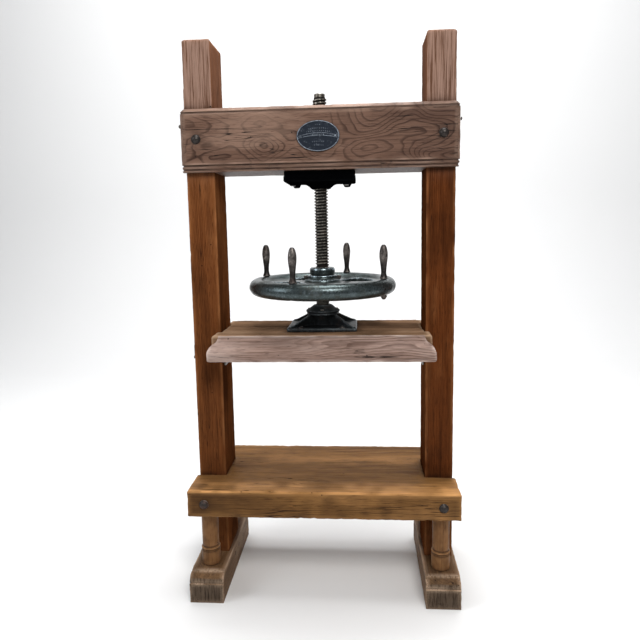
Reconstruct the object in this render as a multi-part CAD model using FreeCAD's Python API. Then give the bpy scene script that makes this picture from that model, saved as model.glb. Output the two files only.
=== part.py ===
import FreeCAD, Part
import math
import os

from FreeCAD import Vector

# A standing screw press of oak and elm with iron work, for pressing books or folded linen.
# Frame of the part: millimetres, +Z up, +X to the right, the front faces -Y.
# The origin is on the floor, under the axis of the screw. The platen is drawn at its rest height.

# ---- driving dimensions: the wooden frame --------------------------------------------------
overall_height = 1850.0        # floor to the tops of the posts
post_spacing = 784.0           # centre to centre of the two posts
post_width = 94.0              # across the press
post_depth = 156.0             # front to back
post_top_bevel = 5.0
post_stop_chamfer = 7.0        # stopped chamfer on the outer front edges, above the beam
post_stop_height = 150.0       # length of that chamfer, from the top down
end_margin = 11.0              # the bed and the beam run past the posts by this much

foot_height = 100.0
foot_width = 116.0
foot_length = 446.0
toe_face_height = 66.0         # upright end-grain face of a toe
toe_ovolo = 27.0               # radius of the quarter round above it
toe_fillet = 4.0               # small flat steps each side of the quarter round
tenon_length = 70.0            # stub tenon of a post in its foot
tenon_width = 46.0
tenon_depth = 108.0
peg_diameter = 14.0            # draw pegs through foot and tenon
peg_spacing = 60.0

column_height = 194.0          # turned columns carry the bed on the feet
column_setback = 141.0         # column axis, in front of and behind the post axis
column_radius = 28.5
column_base_radius = 31.5
column_ring_height = 60.0
column_dowel_radius = 12.0
column_dowel_length = 22.0

bed_thickness = 92.0
bed_depth = 416.0
bed_round = 6.0

beam_bottom = 1427.0
beam_height = 204.0
beam_depth = 200.0
beam_bevel = 11.0              # bevel round the top and the ends of the two faces
beam_moulding = 23.0           # height of the moulding worked along the lower edge
beam_groove = 3.0              # its two grooves

# ---- driving dimensions: the screw and its nut ---------------------------------------------
thread_radius = 23.5
thread_depth = 4.5
thread_pitch = 10.0
thread_top = 1670.0            # top of the full thread, at rest
screw_top = 1682.0
shoulder_thickness = 8.0
tail_radius = 15.0             # reduced end that carries the thrust collar
nut_plate_length = 236.0
nut_plate_width = 170.0
nut_plate_thickness = 36.0
nut_boss_height = 20.0
nut_boss_flare = 42.0          # the boss is this much wider at the plate than at its tip
nut_spigot_height = 60.0
coach_screw_x = 88.0
coach_screw_y = 58.0
coach_screw_radius = 7.0
coach_screw_length = 80.0      # below the head

# ---- driving dimensions: the wheel ---------------------------------------------------------
wheel_rim_radius = 222.0       # to the middle of the rim section
rim_half_width = 30.0
rim_half_height = 28.0
wheel_centre_height = 1043.5   # height of the middle of the rim, at rest
web_thickness = 20.0
window_inner_radius = 78.0
window_outer_radius = 182.0
window_half_angle = 25.0
window_corner = 14.0
hub_radius = 62.0
hub_top_radius = 51.0
hub_top_step = 14.0
handle_angles = {"handle_right": -21.0, "handle_rear": 69.0, "handle_left": 159.0, "handle_front": 249.0}
handle_height = 112.0          # above the rim
handle_grip_radius = 14.0
handle_neck_radius = 9.0
handle_spigot_radius = 8.0
lock_collar_radius = 43.5
lock_collar_height = 25.0

# ---- driving dimensions: the platen and its pressure foot ----------------------------------
platen_top = 896.0
platen_thickness = 82.0
platen_half_depth = 152.0      # the flat board, without its mouldings
platen_ear = 15.0              # length of the ears that pass in front of and behind the posts
ear_round = 9.0
moulding_overhang = 38.0       # how far the moulding stands out at its nose
moulding_top_setback = 14.0    # ends of the moulding, measured inside the inner face of a post
moulding_top_edge = 5.0        # how far the moulding stands out at its top edge
foot_plate_length = 236.0
foot_plate_width = 186.0
foot_plate_thickness = 12.0
foot_drum_radius = 38.0
foot_flange_radius = 56.0
foot_flange_thickness = 8.0
foot_casting_height = 56.0
foot_rib_thickness = 12.0
cap_radius = 59.0
cap_rim_thickness = 8.0
cap_cone_height = 18.0
thrust_collar_radius = 31.0
thrust_collar_height = 20.0
thrust_washer_thickness = 4.0

# ---- driving dimensions: bolts and small iron work -----------------------------------------
bolt_radius = 9.0
bolt_head_radius = 16.0
bolt_head_height = 12.0
square_nut_side = 31.0
square_nut_height = 15.0
washer_radius = 23.0
washer_thickness = 3.0
bolt_end = 9.0                 # thread standing out of the nut
head_bolt_offset = 5.0         # head bolts sit a little outside the post centre lines
plaque_length = 137.0
plaque_height = 96.0
plaque_thickness = 4.0
plaque_rim = 7.0               # width of the raised rim
plaque_relief = 3.0

# ---- clearances ----------------------------------------------------------------------------
joint_gap = 0.2                # wood joints
hole_gap = 0.3                 # bolts in their holes, all round
slide_gap = 3.0                # platen round the posts
running_gap = 0.4              # turning iron parts
thread_gap = 0.45              # between the threads of screw and nut

# ---- travel of the platen, used to prove that the screw is long enough ---------------------
travel_down = 200.0
travel_up = 230.0

# ---- derived sizes -------------------------------------------------------------------------
thread_core_radius = thread_radius - thread_depth
end_radius = thread_core_radius - 0.8       # plain end above the thread
shank_radius = thread_radius + 1.5          # plain length in the hub of the wheel
neck_radius = thread_radius - 1.0           # plain length below the wheel
shoulder_radius = shank_radius + 9.0
nut_boss_tip_radius = thread_radius + 4.5
nut_boss_radius = nut_boss_tip_radius + nut_boss_flare
nut_spigot_radius = thread_radius + 18.5
post_x = post_spacing / 2
post_inner = post_x - post_width / 2
post_outer = post_x + post_width / 2
half_length = post_outer + end_margin
bed_bottom = foot_height + column_height
bed_top = bed_bottom + bed_thickness
bed_bolt_height = bed_bottom + bed_thickness / 2
beam_top = beam_bottom + beam_height
head_bolt_height = beam_bottom + beam_height / 2 + 3.0
head_bolt_x = post_x + head_bolt_offset
nut_bottom = beam_bottom - nut_plate_thickness
nut_tip = nut_bottom - nut_boss_height
nut_top = beam_bottom + nut_spigot_height
web_top = wheel_centre_height + 13.0
hub_bottom = wheel_centre_height - 33.0
hub_top = wheel_centre_height + 37.0
rim_top = wheel_centre_height + rim_half_height
rim_bottom = wheel_centre_height - rim_half_height
hub_shelf = hub_top - hub_top_step
lock_collar_bottom = hub_top + 1.0
lock_collar_top = lock_collar_bottom + lock_collar_height
thread_bottom = lock_collar_top + 2.0
casting_top = platen_top + foot_casting_height
socket_floor = platen_top + foot_plate_thickness + 6.0
washer_top = socket_floor + thrust_washer_thickness
tail_bottom = washer_top + running_gap
thrust_collar_top = tail_bottom + thrust_collar_height
socket_radius = thrust_collar_radius + 1.5
platen_bottom = platen_top - platen_thickness
platen_inner = post_inner - slide_gap
notch_half_depth = post_depth / 2 + slide_gap
platen_ear_end = post_inner + platen_ear
moulding_front = platen_half_depth + moulding_overhang

# ---- shape helpers -------------------------------------------------------------------------


def block(x0, x1, y0, y1, z0, z1):
    """A box between two corners."""
    return Part.makeBox(x1 - x0, y1 - y0, z1 - z0, Vector(x0, y0, z0))


def rod(radius, start, direction, length):
    """A cylinder from a point, along a direction."""
    return Part.makeCylinder(radius, length, Vector(*start), Vector(*direction))


def upright(radius, z0, z1, x=0.0, y=0.0):
    """An upright cylinder between two heights."""
    return rod(radius, (x, y, z0), (0, 0, 1), z1 - z0)


def turned(outline, x=0.0, y=0.0):
    """A solid turned about an upright axis, from a list of (radius, height)."""
    points = [Vector(radius, 0, height) for radius, height in outline]
    face = Part.Face(Part.makePolygon(points + [points[0]]))
    solid = face.revolve(Vector(0, 0, 0), Vector(0, 0, 1), 360)
    solid.translate(Vector(x, y, 0))
    return solid


def prism(points, direction):
    """A polygon swept along a direction."""
    corners = [Vector(*point) for point in points]
    return Part.Face(Part.makePolygon(corners + [corners[0]])).extrude(Vector(*direction))


def mirror_x(shape):
    return shape.mirror(Vector(0, 0, 0), Vector(1, 0, 0))


def mirror_y(shape):
    return shape.mirror(Vector(0, 0, 0), Vector(0, 1, 0))


def arc(start, middle, end):
    return Part.Arc(Vector(*start), Vector(*middle), Vector(*end)).toShape()


def line(start, end):
    return Part.LineSegment(Vector(*start), Vector(*end)).toShape()


def domed_pin(shank, head, height, length):
    """A round shank along +Z from the origin, with a domed head on the other side of it."""
    shoulder = 0.7 * height
    edges = [
        arc((0, 0, -height), (head * 0.62, 0, -shoulder), (head, 0, 0)),
        line((head, 0, 0), (shank, 0, 0)),
        line((shank, 0, 0), (shank, 0, length)),
        line((shank, 0, length), (0, 0, length)),
        line((0, 0, length), (0, 0, -height)),
    ]
    return Part.Face(Part.Wire(edges)).revolve(Vector(0, 0, 0), Vector(0, 0, 1), 360)


def placed(shape, axis, angle, place):
    """A shape turned about an axis through the origin, then moved to its place."""
    shape.rotate(Vector(0, 0, 0), Vector(*axis), angle)
    shape.translate(Vector(*place))
    return shape


def save(name, shape):
    """Write one node, as one solid or as a group of separate solids."""
    solids = shape.Solids
    node = solids[0] if len(solids) == 1 else Part.makeCompound(solids)
    node.exportStep("parts/" + name + ".step")
    print(name, len(solids), "solid(s)", round(node.Volume / 1000.0, 1), "cm3", node.isValid())


def group(shapes):
    return Part.makeCompound(shapes)


def long_edges(shape, direction, test):
    """Edges of a shape that run along a direction and pass a test on their middle point."""
    found = []
    for edge in shape.Edges:
        along = (edge.lastVertex().Point - edge.firstVertex().Point)
        if along.Length > 1 and abs(abs(along.normalize().dot(Vector(*direction))) - 1) < 1e-6:
            if test(edge.CenterOfMass):
                found.append(edge)
    return found


# ---- screw thread --------------------------------------------------------------------------


def thread_ridge(z0, z1, gap):
    """The helical ridge of the trapezoidal thread. A gap widens it, to cut the nut's thread."""
    quarter = thread_pitch / 4
    slope = math.tan(math.radians(15))
    depth = thread_radius - thread_core_radius
    buried = 0.6
    root_half = quarter + slope * depth / 2 + gap
    crest_half = quarter - slope * depth / 2 + gap
    inner = thread_core_radius - buried
    outer = thread_radius + gap
    section = [
        Vector(inner, 0, -root_half - slope * buried),
        Vector(outer, 0, -crest_half + slope * gap),
        Vector(outer, 0, crest_half - slope * gap),
        Vector(inner, 0, root_half + slope * buried),
    ]
    no_taper = 0.0
    path = Part.Wire(Part.makeLongHelix(thread_pitch, z1 - z0, thread_core_radius, no_taper).Edges)
    ridge = path.makePipeShell([Part.makePolygon(section + [section[0]])], True, True)
    ridge.translate(Vector(0, 0, z0))
    return ridge


def main_screw():
    outline = [
        (0, tail_bottom),
        (tail_radius, tail_bottom),
        (tail_radius, thrust_collar_top + running_gap),
        (neck_radius, thrust_collar_top + running_gap),
        (neck_radius, hub_bottom - shoulder_thickness - joint_gap),
        (shoulder_radius, hub_bottom - shoulder_thickness - joint_gap),
        (shoulder_radius, hub_bottom - joint_gap),
        (shank_radius, hub_bottom - joint_gap),
        (shank_radius, hub_top - 4),
        (thread_radius, hub_top - 4),
        (thread_radius, lock_collar_top),
        (thread_core_radius, lock_collar_top + 4),
        (thread_core_radius, thread_top),
        (end_radius, thread_top),
        (end_radius, screw_top - 2),
        (end_radius - 2, screw_top),
        (0, screw_top),
    ]
    half_turn_room = thread_pitch / 2
    ridge = thread_ridge(thread_bottom + half_turn_room, thread_top - half_turn_room, 0.0)
    screw = turned(outline).fuse(ridge)
    screw = screw.cut(lock_pin(hole_gap))
    screw = screw.cut(thrust_pin(hole_gap))
    return screw.cut(wheel_key(joint_gap))


def nut_thread_cutter():
    """The nut's thread is cut in phase with the screw's, whole pitches below its start."""
    start = thread_bottom + thread_pitch / 2
    turns_below = math.floor((nut_tip - start) / thread_pitch) - 1
    z0 = start + turns_below * thread_pitch
    turns = math.ceil((nut_top - z0) / thread_pitch) + 1
    return thread_ridge(z0, z0 + turns * thread_pitch, thread_gap)


# ---- wooden frame --------------------------------------------------------------------------


def foot(side):
    """A sledge foot, front to back, with a moulded toe at each end and a mortise for the post."""
    half = foot_length / 2
    setback = toe_fillet + toe_ovolo
    step = foot_height - toe_fillet
    outline = [
        line((0, -half, 0), (0, -half, toe_face_height)),
        line((0, -half, toe_face_height), (0, -half + toe_fillet, toe_face_height + 1)),
        line((0, -half + toe_fillet, toe_face_height + 1), (0, -half + toe_fillet, step - toe_ovolo)),
        arc((0, -half + toe_fillet, step - toe_ovolo),
            (0, -half + setback - toe_ovolo * math.sqrt(0.5), step - toe_ovolo + toe_ovolo * math.sqrt(0.5)),
            (0, -half + setback, step)),
        line((0, -half + setback, step), (0, -half + setback, foot_height)),
        line((0, -half + setback, foot_height), (0, 0, foot_height)),
        line((0, 0, foot_height), (0, 0, 0)),
        line((0, 0, 0), (0, -half, 0)),
    ]
    face = Part.Face(Part.Wire(outline))
    front = face.extrude(Vector(foot_width, 0, 0))
    front.translate(Vector(post_x - foot_width / 2, 0, 0))
    body = front.fuse(mirror_y(front)).removeSplitter()
    body = body.cut(tenon(joint_gap))
    for y in (-column_setback, column_setback):
        body = body.cut(upright(column_dowel_radius + joint_gap, foot_height - column_dowel_length - joint_gap,
                                foot_height + 1, post_x, y))
    for peg in tenon_pegs(hole_gap):
        body = body.cut(peg)
    return body if side > 0 else mirror_x(body)


def tenon(gap):
    """The stub tenon of the right post. A gap makes it the cutter for the mortise."""
    return block(post_x - tenon_width / 2 - gap, post_x + tenon_width / 2 + gap,
                 -tenon_depth / 2 - gap, tenon_depth / 2 + gap,
                 foot_height - tenon_length - gap, foot_height + 1)


def tenon_pegs(gap):
    """Two wooden pegs through the right foot and its tenon. A gap lengthens and widens them."""
    pegs = []
    for y in (-peg_spacing / 2, peg_spacing / 2):
        start = (post_x - foot_width / 2 - gap, y, foot_height - tenon_length / 2)
        pegs.append(rod(peg_diameter / 2 + gap, start, (1, 0, 0), foot_width + 2 * gap))
    return pegs


def post(side):
    """A post, tenoned into its foot, with bolt holes for bed and beam."""
    body = block(post_inner, post_outer, -post_depth / 2, post_depth / 2, foot_height, overall_height)
    top = long_edges(body, (1, 0, 0), lambda middle: middle.z > overall_height - 1)
    top += long_edges(body, (0, 1, 0), lambda middle: middle.z > overall_height - 1)
    body = body.makeChamfer(post_top_bevel, top)
    corner = post_stop_chamfer
    x, y = post_outer, -post_depth / 2
    wedge = prism([(x - corner, y, 0), (x + 1, y - 1, 0), (x, y + corner, 0)], (0, 0, post_stop_height))
    wedge.translate(Vector(0, 0, overall_height - post_stop_height))
    body = body.cut(wedge)
    body = body.fuse(tenon(0.0)).removeSplitter()
    for peg in tenon_pegs(hole_gap):
        body = body.cut(peg)
    body = body.cut(bolt_hole(head_bolt_x, head_bolt_height, post_depth))
    body = body.cut(bolt_hole(post_x, bed_bolt_height, post_depth))
    return body if side > 0 else mirror_x(body)


def post_slots(depth, z0, z1):
    """The two open-ended slots that let a timber of this depth in round the posts."""
    half = min(post_depth / 2 + joint_gap, depth)
    slot = block(post_inner - joint_gap, half_length + 1, -half, half, z0, z1)
    return slot.fuse(mirror_x(slot))


def bolt_hole(x, z, depth):
    return rod(bolt_radius + hole_gap, (x, -depth / 2 - 1, z), (0, 1, 0), depth + 2)


def turned_column(x, y):
    """A turned column with a ring, dowelled into the foot and the bed."""
    base = foot_height
    ring = base + column_ring_height
    top = bed_bottom
    outline = [
        (0, base - column_dowel_length),
        (column_dowel_radius, base - column_dowel_length),
        (column_dowel_radius, base),
        (column_base_radius - 1.5, base),
        (column_base_radius + 0.5, base + 4),
        (column_base_radius, base + 10),
        (column_base_radius, ring - 10),
        (column_base_radius - 3, ring - 7),
        (column_base_radius - 3, ring - 4),
        (column_base_radius + 0.5, ring - 2),
        (column_base_radius + 0.5, ring + 2),
        (column_radius - 1, ring + 6),
        (column_radius, ring + 12),
        (column_radius, top),
        (column_dowel_radius, top),
        (column_dowel_radius, top + column_dowel_length),
        (0, top + column_dowel_length),
    ]
    return turned(outline, x, y)


def bed():
    """The thick bed board, slotted round the posts and bolted through them."""
    half = bed_depth / 2
    body = block(-half_length, half_length, -half, half, bed_bottom, bed_top)
    edges = long_edges(body, (1, 0, 0), lambda middle: True)
    edges += long_edges(body, (0, 1, 0), lambda middle: True)
    body = body.makeFillet(bed_round, edges)
    body = body.cut(post_slots(half, bed_bottom - 1, bed_top + 1))
    for x in (-post_x, post_x):
        body = body.cut(bolt_hole(x, bed_bolt_height, bed_depth))
        for y in (-column_setback, column_setback):
            body = body.cut(upright(column_dowel_radius + joint_gap, bed_bottom - 1,
                                    bed_bottom + column_dowel_length + joint_gap, x, y))
    return body


def head_beam():
    """The head beam, slotted round the posts, bored for the nut and the screw."""
    half = beam_depth / 2
    body = block(-half_length, half_length, -half, half, beam_bottom, beam_top)
    edges = long_edges(body, (1, 0, 0), lambda middle: middle.z > beam_top - 1)
    edges += long_edges(body, (0, 0, 1), lambda middle: True)
    body = body.makeChamfer(beam_bevel, edges)
    for z, height, depth in moulding_bands():
        inner = block(-half_length + depth, half_length - depth, -half + depth, half - depth, z, z + height)
        outer = block(-half_length - 1, half_length + 1, -half - 1, half + 1, z, z + height)
        body = body.cut(outer.cut(inner))
    body = body.cut(post_slots(half, beam_bottom - 1, beam_top + 1))
    body = body.cut(upright(nut_spigot_radius + joint_gap, beam_bottom - 1, nut_top + joint_gap))
    body = body.cut(upright(thread_radius + 2.5, beam_bottom, beam_top + 1))
    for x in (-head_bolt_x, head_bolt_x):
        body = body.cut(bolt_hole(x, head_bolt_height, beam_depth))
    for x, y in coach_screw_places():
        body = body.cut(upright(coach_screw_radius + joint_gap, beam_bottom - 1,
                                nut_bottom + coach_screw_length + joint_gap, x, y))
    return body.cut(end_nail(joint_gap)).cut(mirror_x(end_nail(joint_gap)))


def moulding_bands():
    """The beam's lower moulding, as bands of (height, thickness, depth of cut)."""
    bead = beam_moulding - 2 * beam_groove - 7.0
    upper = beam_bottom + beam_moulding - beam_groove
    return [
        (upper, beam_groove, 4.0),
        (upper - bead, bead, 1.5),
        (upper - bead - beam_groove, beam_groove, 4.0),
        (beam_bottom, upper - bead - beam_groove - beam_bottom, 2.0),
    ]


# ---- iron work of the frame ----------------------------------------------------------------


def cup_bolt(x, z, depth):
    """A domed bolt head on the front face, its shank through to the back, with thread showing."""
    length = depth + washer_thickness + square_nut_height + bolt_end
    bolt = domed_pin(bolt_radius, bolt_head_radius, bolt_head_height, length)
    return placed(bolt, (1, 0, 0), -90, (x, -depth / 2, z))


def washer(x, z, depth):
    disc = rod(washer_radius, (x, depth / 2, z), (0, 1, 0), washer_thickness)
    return disc.cut(rod(bolt_radius + joint_gap, (x, depth / 2 - 1, z), (0, 1, 0), washer_thickness + 2))


def square_nut(x, z, depth):
    y0 = depth / 2 + washer_thickness
    half = square_nut_side / 2
    nut = block(x - half, x + half, y0, y0 + square_nut_height, z - half, z + half)
    nut = nut.makeChamfer(2.0, long_edges(nut, (0, 1, 0), lambda middle: True))
    return nut.cut(rod(bolt_radius + joint_gap, (x, y0 - 1, z), (0, 1, 0), square_nut_height + 2))


def bolt_sets():
    """Bolts, washers and nuts of the beam and of the bed."""
    for name, half, z, depth in (("head", head_bolt_x, head_bolt_height, beam_depth),
                                 ("bed", post_x, bed_bolt_height, bed_depth)):
        save(name + "_bolts", group([cup_bolt(x, z, depth) for x in (-half, half)]))
        save(name + "_washers", group([washer(x, z, depth) for x in (-half, half)]))
        save(name + "_nuts", group([square_nut(x, z, depth) for x in (-half, half)]))


def coach_screw_places():
    return [(x, y) for x in (-coach_screw_x, coach_screw_x) for y in (-coach_screw_y, coach_screw_y)]


def coach_screw(x, y):
    """A screw with a tapered square head, driven up through the nut plate into the beam."""
    head = Part.makeCone(7.5, 13.0, 12.0, Vector(x, y, nut_bottom - 12.0))
    half = 10.0
    head = head.common(block(x - half, x + half, y - half, y + half, nut_bottom - 12.0, nut_bottom))
    return head.fuse(upright(coach_screw_radius, nut_bottom, nut_bottom + coach_screw_length, x, y))


def nut_plate():
    """The iron nut: a flanged plate under the beam, a spigot let into it and a conical boss."""
    half_x, half_y = nut_plate_length / 2, nut_plate_width / 2
    plate = block(-half_x, half_x, -half_y, half_y, nut_bottom, beam_bottom)
    plate = plate.makeFillet(9.0, long_edges(plate, (0, 0, 1), lambda middle: True))
    boss = Part.makeCone(nut_boss_tip_radius, nut_boss_radius, nut_boss_height, Vector(0, 0, nut_tip))
    body = plate.fuse(boss).fuse(upright(nut_spigot_radius, beam_bottom, nut_top))
    for x, y in coach_screw_places():
        body = body.cut(upright(coach_screw_radius + hole_gap, nut_bottom - 1, beam_bottom + 1, x, y))
    body = body.cut(upright(thread_core_radius + thread_gap, nut_tip - 1, nut_top + 1))
    return body.cut(nut_thread_cutter())


def ellipse_prism(length, height, y0, y1, z):
    """An oval block that faces the front."""
    curve = Part.Ellipse(Vector(0, y0, z), length / 2, height / 2)
    face = Part.Face(Part.Wire(curve.toShape()))
    face.rotate(Vector(0, y0, z), Vector(1, 0, 0), 90)
    return face.extrude(Vector(0, y1 - y0, 0))


def plaque():
    """An oval cast plaque with a raised rim and a plain raised inner oval."""
    back = -beam_depth / 2
    face = back - plaque_thickness
    front = face - plaque_relief
    inner_length = plaque_length - 2 * plaque_rim
    inner_height = plaque_height - 2 * plaque_rim
    base = ellipse_prism(plaque_length, plaque_height, front, back, head_bolt_height)
    base = base.cut(ellipse_prism(inner_length, inner_height, front - 1, face, head_bolt_height))
    ring = ellipse_prism(inner_length * 0.66, inner_height * 0.6, face - 1.5, face, head_bolt_height)
    ring = ring.cut(ellipse_prism(inner_length * 0.6, inner_height * 0.52, face - 2, face + 1, head_bolt_height))
    body = base.fuse(ring)
    for pin in plaque_pins(joint_gap):
        body = body.cut(pin)
    return body


def plaque_pins(gap):
    """Two small nails that hold the plaque."""
    pins = []
    front = -beam_depth / 2 - plaque_thickness - 1.5
    for x in (-plaque_length / 2 + 14.0, plaque_length / 2 - 14.0):
        pins.append(rod(2.5 + gap, (x, front - gap, head_bolt_height), (0, 1, 0),
                        plaque_thickness + 1.5 + gap))
    return pins


def end_nail(gap):
    """A domed nail in the left end of the beam's front ear. A gap makes it the cutter for its hole."""
    place = (-half_length, -(post_depth / 2 + beam_depth / 2) / 2, beam_top - 56.0)
    return placed(domed_pin(2.5 + gap, 6.5, 5.0, 30.0 + gap), (0, 1, 0), 90, place)


def side_plate():
    """A small iron plate, screwed to the outer face of the left post at the platen's height."""
    z0, z1 = platen_bottom - 14.0, platen_bottom + 34.0
    y0 = -post_depth / 2 + 16.0
    plate = block(-post_outer - 5.0, -post_outer, y0, y0 + 62.0, z0, z1)
    plate = plate.fuse(block(-post_outer - 7.5, -post_outer, y0, y0 + 62.0, z0, z0 + 9.0)).removeSplitter()
    for screw in side_plate_screws(hole_gap):
        plate = plate.cut(screw)
    return plate


def side_plate_screws(gap):
    screws = []
    for y in (-post_depth / 2 + 30.0, -post_depth / 2 + 64.0):
        screws.append(rod(4.5 + gap, (-post_outer - 6.0 - gap, y, platen_bottom + 16.0), (1, 0, 0), 6.0 + gap))
    return screws


# ---- wheel and handles ---------------------------------------------------------------------


def window(angle):
    """One kidney-shaped opening of the wheel's web, with round corners."""
    z0 = web_top - web_thickness - 1
    height = web_thickness + 2
    ring = upright(window_outer_radius, z0, z0 + height).cut(upright(window_inner_radius, z0, z0 + height))
    reach = 2 * window_outer_radius
    left = math.radians(angle - window_half_angle)
    right = math.radians(angle + window_half_angle)
    sector = prism([(0, 0, z0), (reach * math.cos(left), reach * math.sin(left), z0),
                    (reach * math.cos(right), reach * math.sin(right), z0)], (0, 0, height))
    opening = ring.common(sector)
    corners = long_edges(opening, (0, 0, 1), lambda middle: True)
    return opening.makeFillet(window_corner, corners)


def rim():
    """The rim: an oval section turned about the axis."""
    curve = Part.Ellipse(Vector(wheel_rim_radius, 0, 0), rim_half_width, rim_half_height)
    face = Part.Face(Part.Wire(curve.toShape()))
    face.rotate(Vector(wheel_rim_radius, 0, 0), Vector(1, 0, 0), 90)
    ring = face.revolve(Vector(0, 0, 0), Vector(0, 0, 1), 360)
    ring.translate(Vector(0, 0, wheel_centre_height))
    return ring


def handwheel():
    """The cast wheel: rim, pierced web and stepped hub, keyed to the screw."""
    web = upright(wheel_rim_radius - rim_half_width + 8.0, web_top - web_thickness, web_top)
    for angle in handle_angles.values():
        web = web.cut(window(angle + 45.0))
    hub = upright(hub_radius, hub_bottom, hub_shelf).fuse(upright(hub_top_radius, hub_shelf - 1, hub_top))
    body = rim().fuse(web).fuse(hub)
    body = body.cut(upright(shank_radius + joint_gap, hub_bottom - 1, hub_top + 1))
    body = body.cut(wheel_key(joint_gap))
    for angle in handle_angles.values():
        x, y = rim_point(angle)
        body = body.cut(upright(handle_spigot_radius + joint_gap, rim_bottom - 1, rim_top + 1, x, y))
    for bolt in hub_bolts():
        body = body.cut(bolt)
    return body


def rim_point(angle):
    turn = math.radians(angle)
    return wheel_rim_radius * math.cos(turn), wheel_rim_radius * math.sin(turn)


def handle(angle, with_nut):
    """A turned iron handle, its spigot through the rim, riveted over or held by a nut."""
    x, y = rim_point(angle)
    z = rim_top
    grip = handle_grip_radius
    foot_end = rim_bottom - 5.0 if with_nut else rim_bottom + 0.5
    outline = [
        (0, foot_end),
        (handle_spigot_radius, foot_end),
        (handle_spigot_radius, z),
        (grip - 1.0, z),
        (grip - 1.0, z + 3),
        (handle_neck_radius + 1.5, z + 9),
        (handle_neck_radius, z + 18),
        (handle_neck_radius + 1.2, z + 34),
        (grip - 2.0, z + 54),
        (grip, z + 72),
        (grip - 0.6, z + 86),
        (grip - 3.0, z + 99),
        (grip - 6.5, z + handle_height - 4),
        (grip - 10.5, z + handle_height),
        (0, z + handle_height),
    ]
    return turned(outline, x, y)


def handle_nut(angle):
    """A tapered nut under the rim, on the one handle that has been replaced."""
    x, y = rim_point(angle)
    nut = Part.makeCone(5.0, 13.0, 13.0, Vector(x, y, rim_bottom - 13.0 - joint_gap))
    return nut.cut(upright(handle_spigot_radius + joint_gap, rim_bottom - 5.0 - joint_gap, rim_bottom + 1, x, y))


def hub_bolts():
    """Two square-headed bolts that clamp the hub."""
    bolts = []
    for side in (-1, 1):
        x = side * (hub_top_radius + 5.0)
        head = block(x - 8, x + 8, -8, 8, hub_shelf, hub_shelf + 12)
        bolts.append(head.cut(upright(hub_top_radius + joint_gap, hub_shelf - 1, hub_top)))
    return bolts


def wheel_key(gap):
    """The key between screw and hub. A gap makes it the cutter for the keyways."""
    return block(shank_radius - 4.0 - gap, shank_radius + 4.0 + gap, -6.0 - gap, 6.0 + gap,
                 hub_bottom + 4.0 - gap, hub_top - 8.0 + gap)


def lock_collar():
    """The collar above the wheel, pinned through the screw."""
    z0, z1, radius = lock_collar_bottom, lock_collar_top, lock_collar_radius
    bore = thread_radius + joint_gap
    outline = [(bore, z0), (radius - 3, z0), (radius, z0 + 4), (radius, z1 - 7), (radius - 6, z1), (bore, z1)]
    return turned(outline).cut(lock_pin(hole_gap))


def lock_pin(gap):
    """The pin through the collar and the screw."""
    height = (lock_collar_bottom + lock_collar_top) / 2 - 1.0
    reach = lock_collar_radius - 1.0 + gap
    return rod(4.0 + gap, (-reach, 0, height), (1, 0, 0), 2 * reach)


# ---- platen and pressure foot --------------------------------------------------------------


def platen_board():
    """The moving board, notched round the posts at its four corners."""
    half = platen_half_depth
    body = block(-platen_ear_end, platen_ear_end, -half, half, platen_bottom, platen_top)
    round_edges = long_edges(body, (0, 1, 0), lambda middle: middle.z > platen_top - 1)
    body = body.makeFillet(ear_round, round_edges)
    notch = block(platen_inner, platen_ear_end + 1, -notch_half_depth, notch_half_depth,
                  platen_bottom - 1, platen_top + 1)
    body = body.cut(notch).cut(mirror_x(notch))
    for iron in (guide_iron(), mirror_x(guide_iron())):
        body = body.cut(iron)
    for screw in guide_screws(0.2) + foot_screws(0.2):
        body = body.cut(screw)
    return body


def moulding_outline():
    """The moulding's profile, as (stand-out, height) edges: a fillet, a hollow and a round nose."""
    top, bottom, edge, out = platen_top, platen_bottom, moulding_top_edge, moulding_overhang
    return [
        ((edge, top), None, (edge, top - 5)),
        ((edge, top - 5), (edge + 5, top - 15), (edge + 13, top - 22)),
        ((edge + 13, top - 22), (out - 5, top - 36), (out, top - 56)),
        ((out, top - 56), None, (out, bottom + 9)),
        ((out, bottom + 9), (out - 3, bottom + 3), (out - 9, bottom)),
    ]


def moulding_face(place, back):
    """The profile as a face. place turns (stand-out, height) into a point."""
    edges = []
    for start, middle, end in moulding_outline():
        if middle:
            edges.append(arc(place(*start), place(*middle), place(*end)))
        else:
            edges.append(line(place(*start), place(*end)))
    first = place(*moulding_outline()[0][0])
    last = place(*moulding_outline()[-1][2])
    edges.append(line(last, back[1]))
    edges.append(line(back[1], back[0]))
    edges.append(line(back[0], first))
    return Part.Face(Part.Wire(edges))


def front_moulding():
    """The moulded strip along the front of the platen; its ends are cut to the same profile."""
    half = post_inner - moulding_top_setback
    along = moulding_face(lambda out, z: (0, -platen_half_depth - out, z),
                          ((0, -platen_half_depth, platen_top), (0, -platen_half_depth, platen_bottom)))
    long_strip = along.extrude(Vector(half + 2 * moulding_overhang, 0, 0))
    end_face = moulding_face(lambda out, z: (half + out, 0, z), ((0, 0, platen_top), (0, 0, platen_bottom)))
    end_block = end_face.extrude(Vector(0, -moulding_front - 20, 0))
    strip = long_strip.common(end_block)
    return strip.fuse(mirror_x(strip)).removeSplitter()


def guide_iron():
    """A bent iron at the platen's right end: one leaf faces the post, one is under the board."""
    upright_leaf = block(platen_inner - 5.0, platen_inner, -55.0, 55.0, platen_bottom - 40.0, platen_top - 16.0)
    lower_leaf = block(platen_inner - 38.0, platen_inner, -55.0, 55.0, platen_bottom - 5.0, platen_bottom)
    return upright_leaf.fuse(lower_leaf).removeSplitter()


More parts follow.
